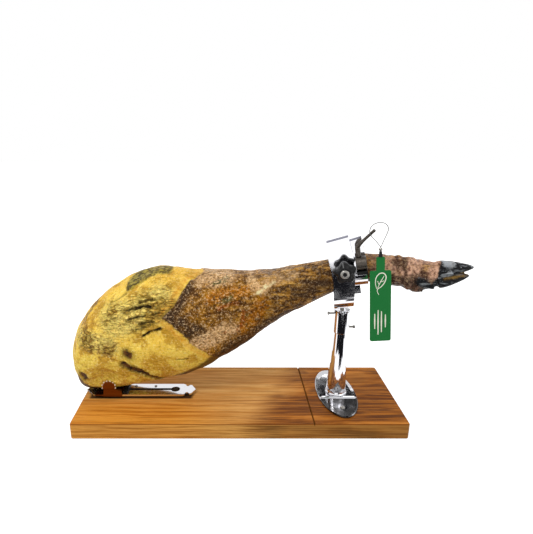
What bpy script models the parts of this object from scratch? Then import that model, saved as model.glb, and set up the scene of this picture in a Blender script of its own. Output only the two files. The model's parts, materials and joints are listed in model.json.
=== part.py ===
"""A whole cured ham clamped in its wood and chrome carving stand.

The origin is the centre of the board's underside. +X runs along the board towards
the hoof, +Y points to the back of the stand, and +Z is up. All sizes are in metres.
"""
from math import cos, hypot, pi, radians, sin

import bmesh
import bpy
from mathutils import Matrix, Vector, noise

# Gap between pieces that touch
GAP = 0.0003
STEP_ANGLE = radians(35)

# Board
BOARD_LENGTH = 0.600
BOARD_WIDTH = 0.200
BOARD_THICK = 0.030
BOARD_CORNER = 0.004
BOARD_EDGE = 0.0015
GROOVE_X = 0.132
GROOVE_WIDTH = 0.0036
GROOVE_DEPTH = 0.0045

# Foot plate and column
POST_X = 0.191
PLATE_LENGTH = 0.166
PLATE_WIDTH = 0.075
PLATE_THICK = 0.0032
RIB_Y = -0.0215
RIB_RADIUS = 0.0042
WELD_RADIUS = 0.0205
PLATE_SCREW_Y = 0.055
PLATE_SCREW_RADIUS = 0.0048
COLUMN_TOP = 0.1617
COLUMN_BASE_RADIUS = 0.0183
COLUMN_TOP_RADIUS = 0.0130
SLEEVE_TOP = 0.2055
SLEEVE_RADIUS = 0.0155
SET_SCREW_RADIUS = 0.0018
SET_SCREW_LENGTH = 0.0105

# Clamp head: it turns about the column by HEAD_YAW and leans back by HEAD_LEAN
HEAD_YAW = radians(14.0)
HEAD_LEAN = radians(11.5)
PIVOT_Z = 0.2119
EAR_RADIUS = 0.0052
EAR_THICK = 0.0045
EAR_DISC = 0.0018
TONGUE_RADIUS = 0.0040
TONGUE_THICK = 0.0120
BOLT_RADIUS = 0.0024
BOLT_HOLE = 0.0027
BOLT_HEAD = 0.0039
PIVOT_TO_YOKE = 0.0052

# Yoke, the outer strap. Its arms are cut to an outline of (x, z) points.
YOKE_GAP = 0.085
YOKE_THICK = 0.004
YOKE_REAR_TOP = 0.034
YOKE_BOTTOM = -0.065
YOKE_BEND = 0.027
YOKE_OUTLINE = [(-0.0087, 0.0662), (0.0281, 0.0712), (0.0323, 0.0351), (0.0312, -0.0006), (0.0260, -0.0340),
                (0.0192, -0.0710), (-0.0132, -0.0710), (-0.0125, -0.0589), (-0.0067, -0.0072), (-0.0094, 0.0336)]

# Cradle, the inner strap that the shank lies in
CRADLE_THICK = 0.0035
CRADLE_INNER = 0.0305
CRADLE_BOTTOM = -0.0312
CRADLE_BEND = 0.0320
CRADLE_REAR_TOP = 0.032
CRADLE_OUTLINE = [(0.0243, 0.0610), (0.0487, 0.0650), (0.0516, 0.0302), (0.0507, -0.0500), (0.0243, -0.0500)]
BRACKET_HALF = 0.012

# Clamp screw and its star knob
SCREW_X = 0.0158
SCREW_Z = 0.0140
SCREW_RADIUS = 0.004
SCREW_HOLE = 0.0046
SCREW_TIP_Y = -0.0236
BOSS_RADIUS = 0.008
BOSS_LENGTH = 0.006
KNOB_BACK_Y = -0.0500
KNOB_RADIUS = 0.0170
KNOB_LOBE = 0.0024
KNOB_LOBES = 5
KNOB_DEPTH = 0.0265
CAP_RADIUS = 0.0073

# Barrel and its cranked handle
BARREL_X = 0.0434
BARREL_Z = 0.0216
BARREL_RADIUS = 0.012
BARREL_LENGTH = 0.0178
BORE_RADIUS = 0.0036
BORE_DEPTH = 0.014
HANDLE_X = 0.0406
HANDLE_PIN = 0.0030
HANDLE_NECK = 0.0044
HANDLE_ARM = 0.0025

# Tag on its wire loop
TAG_PLACE = (0.2278, -0.0765, 0.3053)
TAG_SWING = radians(3.0)
TAG_LEAN = radians(7.0)
TAG_WIDTH = 0.0346
TAG_HEIGHT = 0.1195
TAG_THICK = 0.002
TAG_NECK_WIDTH = 0.0135
TAG_NECK_HEIGHT = 0.0225
LOOP_RADIUS = 0.0006

# Strip with its slot, and the toothed support that slides on it
STRIP_TIP = -0.2975
STRIP_SHOULDER = -0.2790
STRIP_HALF = 0.0190
STRIP_BOTTOM = 0.0345
STRIP_TOP = 0.0380
STRIP_FEET = (-0.2620, -0.1025)
SLOT_START = -0.222
SLOT_END = -0.128
SLOT_HALF = 0.0035
KEYHOLE_X = -0.1238
KEYHOLE_RADIUS = 0.0088
SUPPORT_LEFT = -0.2600
SUPPORT_RIGHT = -0.2237
SUPPORT_LOW = 0.0366
SUPPORT_STEP = 0.0485
SUPPORT_THICK = 0.0025
SUPPORT_Y = -0.0223
CREST_X = -0.2479
CREST_Z = 0.0570
CREST_RADIUS = 0.0141
SHEET_THICK = 0.0020
TOOTH = 0.0032

# Ham
RING_POINTS = 42
RINGS_PER_STATION = 3
HAM_REST_Z = 0.0406


def clear_scene():
    """Remove every object that the file starts with."""
    for obj in list(bpy.data.objects):
        bpy.data.objects.remove(obj, do_unlink=True)


def finish(name, colour, roughness, metallic=0.0):
    """A Principled material in a plain finish."""
    mat = bpy.data.materials.new(name)
    mat.use_nodes = True
    shader = mat.node_tree.nodes["Principled BSDF"]
    shader.inputs["Base Color"].default_value = (*colour, 1.0)
    shader.inputs["Roughness"].default_value = roughness
    shader.inputs["Metallic"].default_value = metallic
    return mat


def add_object(name, bm, mat, parent=None):
    """Turn a bmesh into a named, smooth-shaded object."""
    bmesh.ops.recalc_face_normals(bm, faces=bm.faces)
    mesh = bpy.data.meshes.new(name)
    bm.to_mesh(mesh)
    bm.free()
    mesh.shade_smooth()
    mesh.set_sharp_from_angle(angle=STEP_ANGLE)
    mesh.materials.append(mat)
    obj = bpy.data.objects.new(name, mesh)
    bpy.context.collection.objects.link(obj)
    obj.parent = parent
    return obj


def apply_modifiers(obj):
    """Replace an object's mesh by its evaluated one."""
    bpy.context.view_layer.update()
    depsgraph = bpy.context.evaluated_depsgraph_get()
    mesh = bpy.data.meshes.new_from_object(obj.evaluated_get(depsgraph))
    obj.modifiers.clear()
    obj.data = mesh
    obj.data.shade_smooth()
    obj.data.set_sharp_from_angle(angle=STEP_ANGLE)


def combine(target, others, operation):
    """Join others to target, or cut them out of it, in one Boolean."""
    tools = bpy.data.collections.new(target.name + "_tools")
    bpy.context.scene.collection.children.link(tools)
    for obj in others:
        bpy.context.collection.objects.unlink(obj)
        tools.objects.link(obj)
    modifier = target.modifiers.new("combine", "BOOLEAN")
    modifier.operation = operation
    modifier.solver = "EXACT"
    modifier.operand_type = "COLLECTION"
    modifier.collection = tools
    apply_modifiers(target)
    for obj in others:
        bpy.data.objects.remove(obj, do_unlink=True)
    bpy.data.collections.remove(tools)


def box(low, high):
    """A bmesh box between two corners."""
    bm = bmesh.new()
    bmesh.ops.create_cube(bm, size=1.0)
    centre = [(a + b) / 2 for a, b in zip(low, high)]
    size = [b - a for a, b in zip(low, high)]
    for vert in bm.verts:
        vert.co = Vector(c + s * p for c, s, p in zip(centre, size, vert.co))
    return bm


def loft(rings, closed_ends=True):
    """A bmesh skin through rings of points, closed by a point at either end."""
    bm = bmesh.new()
    rows = [[bm.verts.new(p) for p in ring] for ring in rings]
    for low, high in zip(rows, rows[1:]):
        for k in range(len(low)):
            nxt = (k + 1) % len(low)
            bm.faces.new((low[k], low[nxt], high[nxt], high[k]))
    if closed_ends:
        for row in (rows[0], rows[-1]):
            middle = sum((v.co for v in row), Vector()) / len(row)
            pole = bm.verts.new(middle)
            for k in range(len(row)):
                bm.faces.new((row[k], row[(k + 1) % len(row)], pole))
    return bm


def turned(profile, segments=32):
    """A bmesh solid of revolution about +Z through (radius, height) points."""
    rings = []
    for radius, height in profile:
        rings.append([(radius * cos(2 * pi * k / segments), radius * sin(2 * pi * k / segments), height)
                      for k in range(segments)])
    return loft(rings)


def extruded(outline, thickness):
    """A bmesh prism: an XY outline from z = 0 to z = thickness."""
    bm = bmesh.new()
    face = bm.faces.new([bm.verts.new((x, y, 0.0)) for x, y in outline])
    grown = bmesh.ops.extrude_face_region(bm, geom=[face])["geom"]
    for item in grown:
        if isinstance(item, bmesh.types.BMVert):
            item.co.z = thickness
    return bm


def moved(bm, location=(0, 0, 0), rotation=None):
    """Turn, then shift, the whole of a bmesh."""
    matrix = Matrix.Translation(location)
    if rotation is not None:
        matrix = matrix @ rotation
    bmesh.ops.transform(bm, matrix=matrix, verts=bm.verts)
    return bm


def arc(centre, radius, start, end, count):
    """Points on an arc, with angles in degrees."""
    angles = [radians(start + (end - start) * k / (count - 1)) for k in range(count)]
    return [(centre[0] + radius * cos(a), centre[1] + radius * sin(a)) for a in angles]


FACE_FRONT = Matrix.Rotation(pi / 2, 4, "X")     # +Z of a shape turns to -Y
FACE_RIGHT = Matrix.Rotation(pi / 2, 4, "Y")     # +Z of a shape turns to +X


def make_board(wood):
    """The board, with its rounded corners and the groove sawn across it."""
    bm = box((-BOARD_LENGTH / 2, -BOARD_WIDTH / 2, 0.0), (BOARD_LENGTH / 2, BOARD_WIDTH / 2, BOARD_THICK))
    corners = [e for e in bm.edges if abs(e.verts[0].co.z - e.verts[1].co.z) > BOARD_THICK / 2]
    bmesh.ops.bevel(bm, geom=corners, offset=BOARD_CORNER, segments=4, profile=0.5, affect="EDGES")
    rims = [e for e in bm.edges if abs(e.verts[0].co.z - e.verts[1].co.z) < BOARD_THICK / 2]
    bmesh.ops.bevel(bm, geom=rims, offset=BOARD_EDGE, segments=2, profile=0.5, affect="EDGES")
    board = add_object("board", bm, wood)
    reach = BOARD_WIDTH / 2 + 0.01
    groove = extruded([(-GROOVE_WIDTH / 2, 0.001), (0.0, -GROOVE_DEPTH), (GROOVE_WIDTH / 2, 0.001)], 2 * reach)
    moved(groove, (GROOVE_X, reach, BOARD_THICK), FACE_FRONT)
    combine(board, [add_object("groove", groove, wood)], "DIFFERENCE")
    return board


def make_foot_plate(chrome, steel):
    """The oval plate under the column, with its pressed rib and two screws."""
    base = BOARD_THICK + GAP
    levels = [(0.985, 0.0), (1.0, 0.0006), (1.0, PLATE_THICK * 0.6), (0.97, PLATE_THICK * 0.9), (0.80, PLATE_THICK)]
    rings = []
    for share, height in levels:
        ring = [(POST_X + share * PLATE_WIDTH / 2 * cos(2 * pi * k / 56),
                 share * PLATE_LENGTH / 2 * sin(2 * pi * k / 56), base + height) for k in range(56)]
        rings.append(ring)
    plate = add_object("foot_plate", loft(rings), chrome)
    rib_half = 0.92 * PLATE_WIDTH / 2
    rib = turned([(RIB_RADIUS * 0.5, -rib_half), (RIB_RADIUS, -rib_half + 0.004),
                  (RIB_RADIUS, rib_half - 0.004), (RIB_RADIUS * 0.5, rib_half)], 16)
    moved(rib, (POST_X, RIB_Y, base + PLATE_THICK - 0.0018), FACE_RIGHT)
    below = box((POST_X - 0.06, RIB_Y - 0.02, base - 0.02), (POST_X + 0.06, RIB_Y + 0.02, base + GAP))
    ring = turned([(WELD_RADIUS + 0.0008, base + PLATE_THICK), (WELD_RADIUS + 0.0008, base + 0.03)])
    moved(ring, (POST_X, 0, 0))
    rib_obj = add_object("rib", rib, chrome)
    combine(rib_obj, [add_object("below", below, chrome), add_object("ring", ring, chrome)], "DIFFERENCE")
    combine(plate, [rib_obj], "UNION")
    for name, y in (("plate_screw_front", -PLATE_SCREW_Y), ("plate_screw_rear", PLATE_SCREW_Y)):
        radius = PLATE_SCREW_RADIUS
        head = turned([(radius, 0.0), (radius * 0.97, 0.0008), (radius * 0.7, 0.0018), (radius * 0.3, 0.0023)], 24)
        add_object(name, moved(head, (POST_X, y, base + PLATE_THICK + GAP)), steel)


def make_column(chrome):
    """The tapered column with the weld ring at its foot."""
    foot = BOARD_THICK + 2 * GAP + PLATE_THICK
    profile = [(WELD_RADIUS, foot), (WELD_RADIUS - 0.0002, foot + 0.0022), (0.0190, foot + 0.0042),
               (COLUMN_BASE_RADIUS, foot + 0.0070), (COLUMN_TOP_RADIUS, COLUMN_TOP)]
    return add_object("column", moved(turned(profile, 40), (POST_X, 0, 0)), chrome)


def make_sleeve(chrome, steel):
    """The sleeve that carries the head, and the two screws that set its height."""
    low = COLUMN_TOP + GAP
    edge = 0.0012
    profile = [(SLEEVE_RADIUS - edge, low), (SLEEVE_RADIUS, low + edge),
               (SLEEVE_RADIUS, SLEEVE_TOP - edge), (SLEEVE_RADIUS - edge, SLEEVE_TOP)]
    add_object("sleeve", moved(turned(profile, 40), (POST_X, 0, 0)), chrome)
    for name, side, z in (("set_screw_upper", -1, 0.1990), ("set_screw_lower", 1, 0.1715)):
        start = SLEEVE_RADIUS + GAP
        shape = turned([(SET_SCREW_RADIUS, start), (SET_SCREW_RADIUS, start + SET_SCREW_LENGTH - 0.0035),
                        (SET_SCREW_RADIUS * 1.7, start + SET_SCREW_LENGTH - 0.003),
                        (SET_SCREW_RADIUS * 1.7, start + SET_SCREW_LENGTH)], 14)
        turn = Matrix.Rotation(side * pi / 2, 4, "Y")
        add_object(name, moved(shape, (POST_X, 0, z), turn), steel)


def head_frames():
    """Two empties: the swivel on the column, and the head that leans in it."""
    swivel = bpy.data.objects.new("swivel_frame", None)
    bpy.context.collection.objects.link(swivel)
    swivel.location = (POST_X, 0.0, PIVOT_Z)
    swivel.rotation_euler = (0.0, 0.0, -HEAD_YAW)
    head = bpy.data.objects.new("head_frame", None)
    bpy.context.collection.objects.link(head)
    head.parent = swivel
    lift = PIVOT_TO_YOKE - YOKE_BOTTOM
    head.location = (-lift * sin(HEAD_LEAN), 0.0, lift * cos(HEAD_LEAN))
    head.rotation_euler = (0.0, -HEAD_LEAN, 0.0)
    return swivel, head


def make_ears(swivel, chrome, steel):
    """The forked block on the sleeve, and the bolt that the head leans on."""
    low = SLEEVE_TOP + GAP - PIVOT_Z
    radius = SLEEVE_RADIUS - 0.0007
    disc = turned([(radius - 0.0005, low), (radius, low + 0.0005), (radius, low + EAR_DISC - 0.0003),
                   (radius - 0.0003, low + EAR_DISC)])
    fork = add_object("ears", disc, chrome, swivel)
    ears = []
    inner = TONGUE_THICK / 2 + GAP
    for near in (-inner, inner + EAR_THICK):
        outline = arc((0.0, 0.0), EAR_RADIUS, 0, 180, 13) + [(-0.0075, low + 0.001), (0.0075, low + 0.001)]
        ear = extruded(outline, EAR_THICK)
        ears.append(add_object("ear", moved(ear, (0, near, 0), FACE_FRONT), chrome, swivel))
    combine(fork, ears, "UNION")
    bore = turned([(BOLT_HOLE, -0.03), (BOLT_HOLE, 0.03)], 20)
    combine(fork, [add_object("bore", moved(bore, (0, 0, 0), FACE_FRONT), chrome, swivel)], "DIFFERENCE")
    reach = inner + EAR_THICK + GAP
    profile = [(BOLT_HEAD - 0.0004, -reach - 0.0032), (BOLT_HEAD, -reach - 0.0028), (BOLT_HEAD, -reach),
               (BOLT_RADIUS, -reach), (BOLT_RADIUS, reach), (BOLT_HEAD, reach), (BOLT_HEAD, reach + 0.0028),
               (BOLT_HEAD - 0.0004, reach + 0.0032)]
    add_object("pivot_bolt", moved(turned(profile, 20), (0, 0, 0), FACE_FRONT), steel, swivel)


def u_line(half_gap, bend, low, rear_top, front_top):
    """Points down the rear arm, round the two bends and up the front arm."""
    turn = half_gap - bend
    return ([(half_gap, rear_top)] + arc((turn, low + bend), bend, 0, -90, 12)
            + arc((-turn, low + bend), bend, -90, -180, 12) + [(-half_gap, front_top)])


def strap(name, half_gap, thick, bend, low, rear_top, outline, mat, head):
    """A U-shaped strap across the shank: flat bar cut to an outline seen from the front."""
    start = min(x for x, _ in outline)
    end = max(x for x, _ in outline)
    front_top = max(z for _, z in outline)
    section = u_line(half_gap, bend, low, rear_top, front_top)
    section += reversed(u_line(half_gap - thick, bend - thick, low + thick, rear_top, front_top))
    across = Matrix(((0, 0, 1, 0), (1, 0, 0, 0), (0, 1, 0, 0), (0, 0, 0, 1)))
    bar = add_object(name, moved(extruded(section, end - start), (start, 0, 0), across), mat, head)
    reach = half_gap + 0.01
    shape = moved(extruded(outline, 2 * reach), (0, reach, 0), FACE_FRONT)
    combine(bar, [add_object("shape", shape, mat, head)], "INTERSECT")
    return bar


def make_yoke(head, chrome):
    """The outer strap with its tongue, its boss and the hole for the screw."""
    half = YOKE_GAP / 2
    yoke = strap("yoke", half, YOKE_THICK, YOKE_BEND, YOKE_BOTTOM, YOKE_REAR_TOP, YOKE_OUTLINE, chrome, head)
    pivot = YOKE_BOTTOM - PIVOT_TO_YOKE
    outline = [(TONGUE_RADIUS, YOKE_BOTTOM + 0.002), (-TONGUE_RADIUS, YOKE_BOTTOM + 0.002)]
    outline += arc((0.0, pivot), TONGUE_RADIUS, 180, 360, 13)
    tongue = moved(extruded(outline, TONGUE_THICK), (0, TONGUE_THICK / 2, 0), FACE_FRONT)
    boss = turned([(BOSS_RADIUS, 0.0), (BOSS_RADIUS, BOSS_LENGTH - 0.0008),
                   (BOSS_RADIUS - 0.0008, BOSS_LENGTH)], 28)
    moved(boss, (SCREW_X, -half + 0.001, SCREW_Z), FACE_FRONT)
    combine(yoke, [add_object("tongue", tongue, chrome, head), add_object("boss", boss, chrome, head)], "UNION")
    bolt_hole = moved(turned([(BOLT_HOLE, -0.02), (BOLT_HOLE, 0.02)], 20), (0, 0, pivot), FACE_FRONT)
    screw_hole = turned([(SCREW_HOLE, -0.008), (SCREW_HOLE, 0.012)], 28)
    moved(screw_hole, (SCREW_X, -half, SCREW_Z), FACE_FRONT)
    combine(yoke, [add_object("bolt_hole", bolt_hole, chrome, head),
                   add_object("screw_hole", screw_hole, chrome, head)], "DIFFERENCE")


def make_cradle(head, chrome):
    """The inner strap, set beside the yoke towards the hoof, and the bracket that carries it."""
    half = CRADLE_INNER + CRADLE_THICK
    strap("cradle", half, CRADLE_THICK, CRADLE_BEND, CRADLE_BOTTOM, CRADLE_REAR_TOP, CRADLE_OUTLINE,
          chrome, head)
    top = CRADLE_BOTTOM - GAP
    shelf = top - 0.0120
    foot = YOKE_BOTTOM + YOKE_THICK + GAP
    outline = [(0.0367, top), (0.0367, shelf), (0.0120, shelf), (0.0120, foot), (0.0025, foot),
               (0.0025, top - 0.0040), (0.0215, top - 0.0040), (0.0215, top)]
    bracket = moved(extruded(outline, 2 * BRACKET_HALF), (0, BRACKET_HALF, 0), FACE_FRONT)
    add_object("cradle_bracket", bracket, chrome, head)


def knob_ring(radius, lobe, height):
    """One ring of the star knob at a height above its back."""
    count = KNOB_LOBES * 8
    ring = []
    for k in range(count):
        angle = 2 * pi * k / count + pi / 2
        reach = radius + lobe * cos(KNOB_LOBES * (angle - pi / 2))
        ring.append((reach * cos(angle), reach * sin(angle), height))
    return ring


def make_knob(head, steel, plastic):
    """The pointed clamp screw, the star knob on it and the knob's bright cap."""
    length = -(KNOB_BACK_Y - SCREW_TIP_Y) - GAP
    point = 0.011
    screw = turned([(0.0010, 0.0), (SCREW_RADIUS, point), (SCREW_RADIUS, length)], 24)
    add_object("clamp_screw", moved(screw, (SCREW_X, SCREW_TIP_Y, SCREW_Z), FACE_FRONT), steel, head)
    levels = [(0.0090, 0.0, 0.0), (0.0095, 0.0, 0.0055), (0.0150, 0.0010, 0.0068),
              (KNOB_RADIUS - 0.0020, KNOB_LOBE * 0.8, 0.0080), (KNOB_RADIUS, KNOB_LOBE, 0.0110),
              (KNOB_RADIUS, KNOB_LOBE, 0.0185), (KNOB_RADIUS - 0.0014, KNOB_LOBE * 0.9, 0.0225),
              (KNOB_RADIUS - 0.0050, KNOB_LOBE * 0.6, 0.0250), (0.0105, 0.0006, KNOB_DEPTH)]
    rings = [knob_ring(*level) for level in levels]
    add_object("knob", moved(loft(rings), (SCREW_X, KNOB_BACK_Y, SCREW_Z), FACE_FRONT), plastic, head)
    cap = turned([(CAP_RADIUS, 0.0), (CAP_RADIUS, 0.0010), (CAP_RADIUS * 0.8, 0.0019), (CAP_RADIUS * 0.35, 0.0025)])
    front = KNOB_BACK_Y - KNOB_DEPTH - GAP
    add_object("knob_cap", moved(cap, (SCREW_X, front, SCREW_Z), FACE_FRONT), steel, head)


def make_barrel(head, steel, plastic):
    """The barrel that the handle turns in, and the dark block under it."""
    y = -(CRADLE_INNER + CRADLE_THICK) - GAP - BARREL_RADIUS
    edge = 0.0008
    half = BARREL_LENGTH / 2
    profile = [(BARREL_RADIUS - edge, -half), (BARREL_RADIUS, edge - half),
               (BARREL_RADIUS, half - edge), (BARREL_RADIUS - edge, half)]
    barrel = add_object("barrel", moved(turned(profile), (BARREL_X, y, BARREL_Z), FACE_RIGHT), steel, head)
    top = BARREL_Z + BARREL_RADIUS
    bore = turned([(BORE_RADIUS, top - BORE_DEPTH), (BORE_RADIUS, top + 0.004)], 24)
    combine(barrel, [add_object("bore", moved(bore, (HANDLE_X, y, 0)), steel, head)], "DIFFERENCE")
    low = BARREL_Z - BARREL_RADIUS - GAP
    block = box((BARREL_X - 0.009, y - 0.0085, low - 0.0062), (BARREL_X + 0.009, y + 0.0115, low))
    bmesh.ops.bevel(block, geom=list(block.edges), offset=0.001, segments=2, profile=0.5, affect="EDGES")
    add_object("barrel_block", block, plastic, head)
    return y, top


def smooth_path(points, steps):
    """Points on one smooth curve through hand-set points."""
    padded = [2 * points[0] - points[1], *points, 2 * points[-1] - points[-2]]
    path = []
    for k in range(len(points) - 1):
        p0, p1, p2, p3 = padded[k:k + 4]
        for s in range(steps):
            t = s / steps
            path.append(0.5 * (2 * p1 + (p2 - p0) * t + (2 * p0 - 5 * p1 + 4 * p2 - p3) * t * t
                               + (3 * p1 - 3 * p2 + p3 - p0) * t ** 3))
    path.append(points[-1].copy())
    return path


def tube(name, path, radii, mat, parent=None, cyclic=False, sides_level=3):
    """A round bar along a path, with a radius at each point."""
    curve = bpy.data.curves.new(name, "CURVE")
    curve.dimensions = "3D"
    curve.bevel_depth = 1.0
    curve.bevel_resolution = sides_level
    curve.use_fill_caps = True
    spline = curve.splines.new("POLY")
    spline.points.add(len(path) - 1)
    spline.use_cyclic_u = cyclic
    for point, place, radius in zip(spline.points, path, radii):
        point.co = (*place, 1.0)
        point.radius = radius
    curve.materials.append(mat)
    obj = bpy.data.objects.new(name, curve)
    bpy.context.collection.objects.link(obj)
    obj.parent = parent
    return obj


def make_handle(head, steel, barrel_y, barrel_top):
    """The cranked handle: a pin in the barrel, a neck, a bend and a thin straight arm."""
    neck_foot = barrel_top + GAP
    route = [Vector((HANDLE_X, barrel_y, neck_foot + 0.0004)), Vector((HANDLE_X, barrel_y, neck_foot + 0.011)),
             Vector((HANDLE_X + 0.0012, barrel_y - 0.0015, neck_foot + 0.0175)),
             Vector((HANDLE_X + 0.0094, barrel_y - 0.0065, neck_foot + 0.0263)),
             Vector((HANDLE_X + 0.0299, barrel_y - 0.0158, neck_foot + 0.0440))]
    arm = smooth_path(route, 4)
    path = [Vector((HANDLE_X, barrel_y, barrel_top - BORE_DEPTH + 0.001)),
            Vector((HANDLE_X, barrel_y, neck_foot))] + arm
    radii = [HANDLE_PIN, HANDLE_PIN] + [HANDLE_NECK] * 6
    tail = len(path) - len(radii)
    for k in range(tail):
        radii.append(HANDLE_NECK + (HANDLE_ARM - HANDLE_NECK) * min(1.0, 1.4 * k / (tail - 1)))
    tube("handle", path, radii, steel, head)


def make_tag(plastic, rubber, wire):
    """The flat tag with its narrow neck, its ferrule, clasp and wire loop."""
    frame = bpy.data.objects.new("tag_frame", None)
    bpy.context.collection.objects.link(frame)
    frame.location = TAG_PLACE
    frame.rotation_euler = (-TAG_LEAN, -TAG_SWING, 0.0)
    half, corner = TAG_WIDTH / 2, 0.003
    neck, shoulder = TAG_NECK_WIDTH / 2, 0.0015
    outline = arc((-half + corner, -TAG_HEIGHT + corner), corner, 180, 270, 5)
    outline += arc((half - corner, -TAG_HEIGHT + corner), corner, 270, 360, 5)
    outline += arc((half - corner, -corner), corner, 0, 90, 5)
    outline += [(neck, 0.0)]
    outline += arc((neck - shoulder, TAG_NECK_HEIGHT - shoulder), shoulder, 0, 90, 4)
    outline += arc((-neck + shoulder, TAG_NECK_HEIGHT - shoulder), shoulder, 90, 180, 4)
    outline += [(-neck, 0.0)]
    outline += arc((-half + corner, -corner), corner, 90, 180, 5)
    plate = moved(extruded(outline, TAG_THICK), (0, TAG_THICK / 2, 0), FACE_FRONT)
    add_object("tag", plate, plastic, frame)
    low = TAG_NECK_HEIGHT + GAP
    ferrule = turned([(0.0034, low), (0.0034, low + 0.0040), (0.0024, low + 0.0052), (0.0024, low + 0.0090)], 18)
    add_object("tag_ferrule", ferrule, rubber, frame)
    ball_z = low + 0.0090 + GAP + 0.0030
    ball = bmesh.new()
    bmesh.ops.create_uvsphere(ball, u_segments=16, v_segments=10, radius=0.0030)
    add_object("tag_clasp", moved(ball, (0, 0, ball_z)), wire, frame)
    foot = ball_z + 0.0030 + GAP + LOOP_RADIUS
    route = [(0.0000, 0.0), (0.0014, 0.0018), (0.0050, 0.0100), (0.0092, 0.0185), (0.0122, 0.0270),
             (0.0114, 0.0325), (0.0068, 0.0375), (-0.0014, 0.0393), (-0.0094, 0.0376), (-0.0152, 0.0330),
             (-0.0175, 0.0270), (-0.0168, 0.0215), (-0.0142, 0.0172), (-0.0090, 0.0115), (-0.0014, 0.0018)]
    points = [Vector((x, 0.0, foot + z)) for x, z in route]
    ring = smooth_path(points[-1:] + points + points[:2], 4)[4:-5]
    tube("tag_loop", ring, [LOOP_RADIUS] * len(ring), wire, frame, cyclic=True, sides_level=1)


def make_strip(chrome, steel):
    """The slotted strip with its arrow-shaped ends, on two low feet."""
    side = [(STRIP_SHOULDER, STRIP_HALF), (-0.1095, STRIP_HALF), (-0.1050, 0.0165), (-0.1025, 0.0108),
            (-0.0990, 0.0108), (-0.0962, 0.0150), (-0.0925, 0.0146)]
    outline = [(x, -y) for x, y in side] + [(-0.0843, 0.0)] + [(x, y) for x, y in reversed(side)]
    outline.append((STRIP_TIP, 0.0))
    thick = STRIP_TOP - STRIP_BOTTOM
    strip = add_object("strip", moved(extruded(outline, thick), (0, 0, STRIP_BOTTOM)), chrome)
    feet = []
    for x in STRIP_FEET:
        foot = turned([(0.0050, BOARD_THICK + GAP), (0.0050, STRIP_BOTTOM + 0.001)], 20)
        feet.append(add_object("foot", moved(foot, (x, 0, 0)), chrome))
    combine(strip, feet, "UNION")
    slot_length = SLOT_END - SLOT_START
    slot = arc((SLOT_START + SLOT_HALF, 0), SLOT_HALF, 90, 270, 9)
    slot += [(SLOT_START + slot_length, -SLOT_HALF), (SLOT_START + slot_length, SLOT_HALF)]
    tools = [add_object("slot", moved(extruded(slot, 0.02), (0, 0, STRIP_BOTTOM - 0.008)), chrome)]
    keyhole = turned([(KEYHOLE_RADIUS, STRIP_BOTTOM - 0.0085), (KEYHOLE_RADIUS, STRIP_TOP + 0.009)], 24)
    tools.append(add_object("keyhole", moved(keyhole, (KEYHOLE_X, 0, 0)), chrome))
    combine(strip, tools, "DIFFERENCE")
    for name, x, y in (("strip_screw_rear", -0.2030, 0.0105), ("strip_screw_front", -0.1640, 0.0105)):
        head = turned([(0.0028, 0.0), (0.0026, 0.0008), (0.0012, 0.0014)], 16)
        add_object(name, moved(head, (x, y, STRIP_TOP + GAP)), steel)


def toothed_arc(centre_x, centre_z, radius, start, end, teeth):
    """Points along an arc whose rim is cut into pointed teeth."""
    points = []
    for k in range(2 * teeth + 1):
        angle = radians(start + (end - start) * k / (2 * teeth))
        reach = radius if k % 2 else radius - TOOTH
        points.append((centre_x + reach * cos(angle), centre_z + reach * sin(angle)))
    return points


def make_support(chrome, plastic):
    """The bent sheet that the butt rests on: a floor on the strip and a toothed crest in front."""
    floor_low = STRIP_TOP + GAP
    near = SUPPORT_Y - SUPPORT_THICK / 2
    floor = box((SUPPORT_LEFT - 0.0150, near, floor_low), (SUPPORT_RIGHT, -SUPPORT_Y, floor_low + SHEET_THICK))
    support = add_object("toothed_support", floor, chrome)
    front = [(SUPPORT_LEFT, SUPPORT_LOW), (SUPPORT_RIGHT, SUPPORT_LOW), (SUPPORT_RIGHT, SUPPORT_STEP - 0.0020),
             (SUPPORT_RIGHT - 0.0020, SUPPORT_STEP)]
    front += toothed_arc(CREST_X, CREST_Z, CREST_RADIUS, -25, 205, 8)
    plate = moved(extruded(front, SUPPORT_THICK), (0, near + SUPPORT_THICK, 0), FACE_FRONT)
    combine(support, [add_object("front", plate, chrome)], "UNION")
    lock = box((SUPPORT_RIGHT + GAP, -STRIP_HALF + 0.0005, floor_low),
               (SUPPORT_RIGHT + GAP + 0.0088, STRIP_HALF - 0.0005, floor_low + 0.0043))
    bmesh.ops.bevel(lock, geom=list(lock.edges), offset=0.0008, segments=2, profile=0.5, affect="EDGES")
    add_object("slider_lock", lock, plastic)


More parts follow.
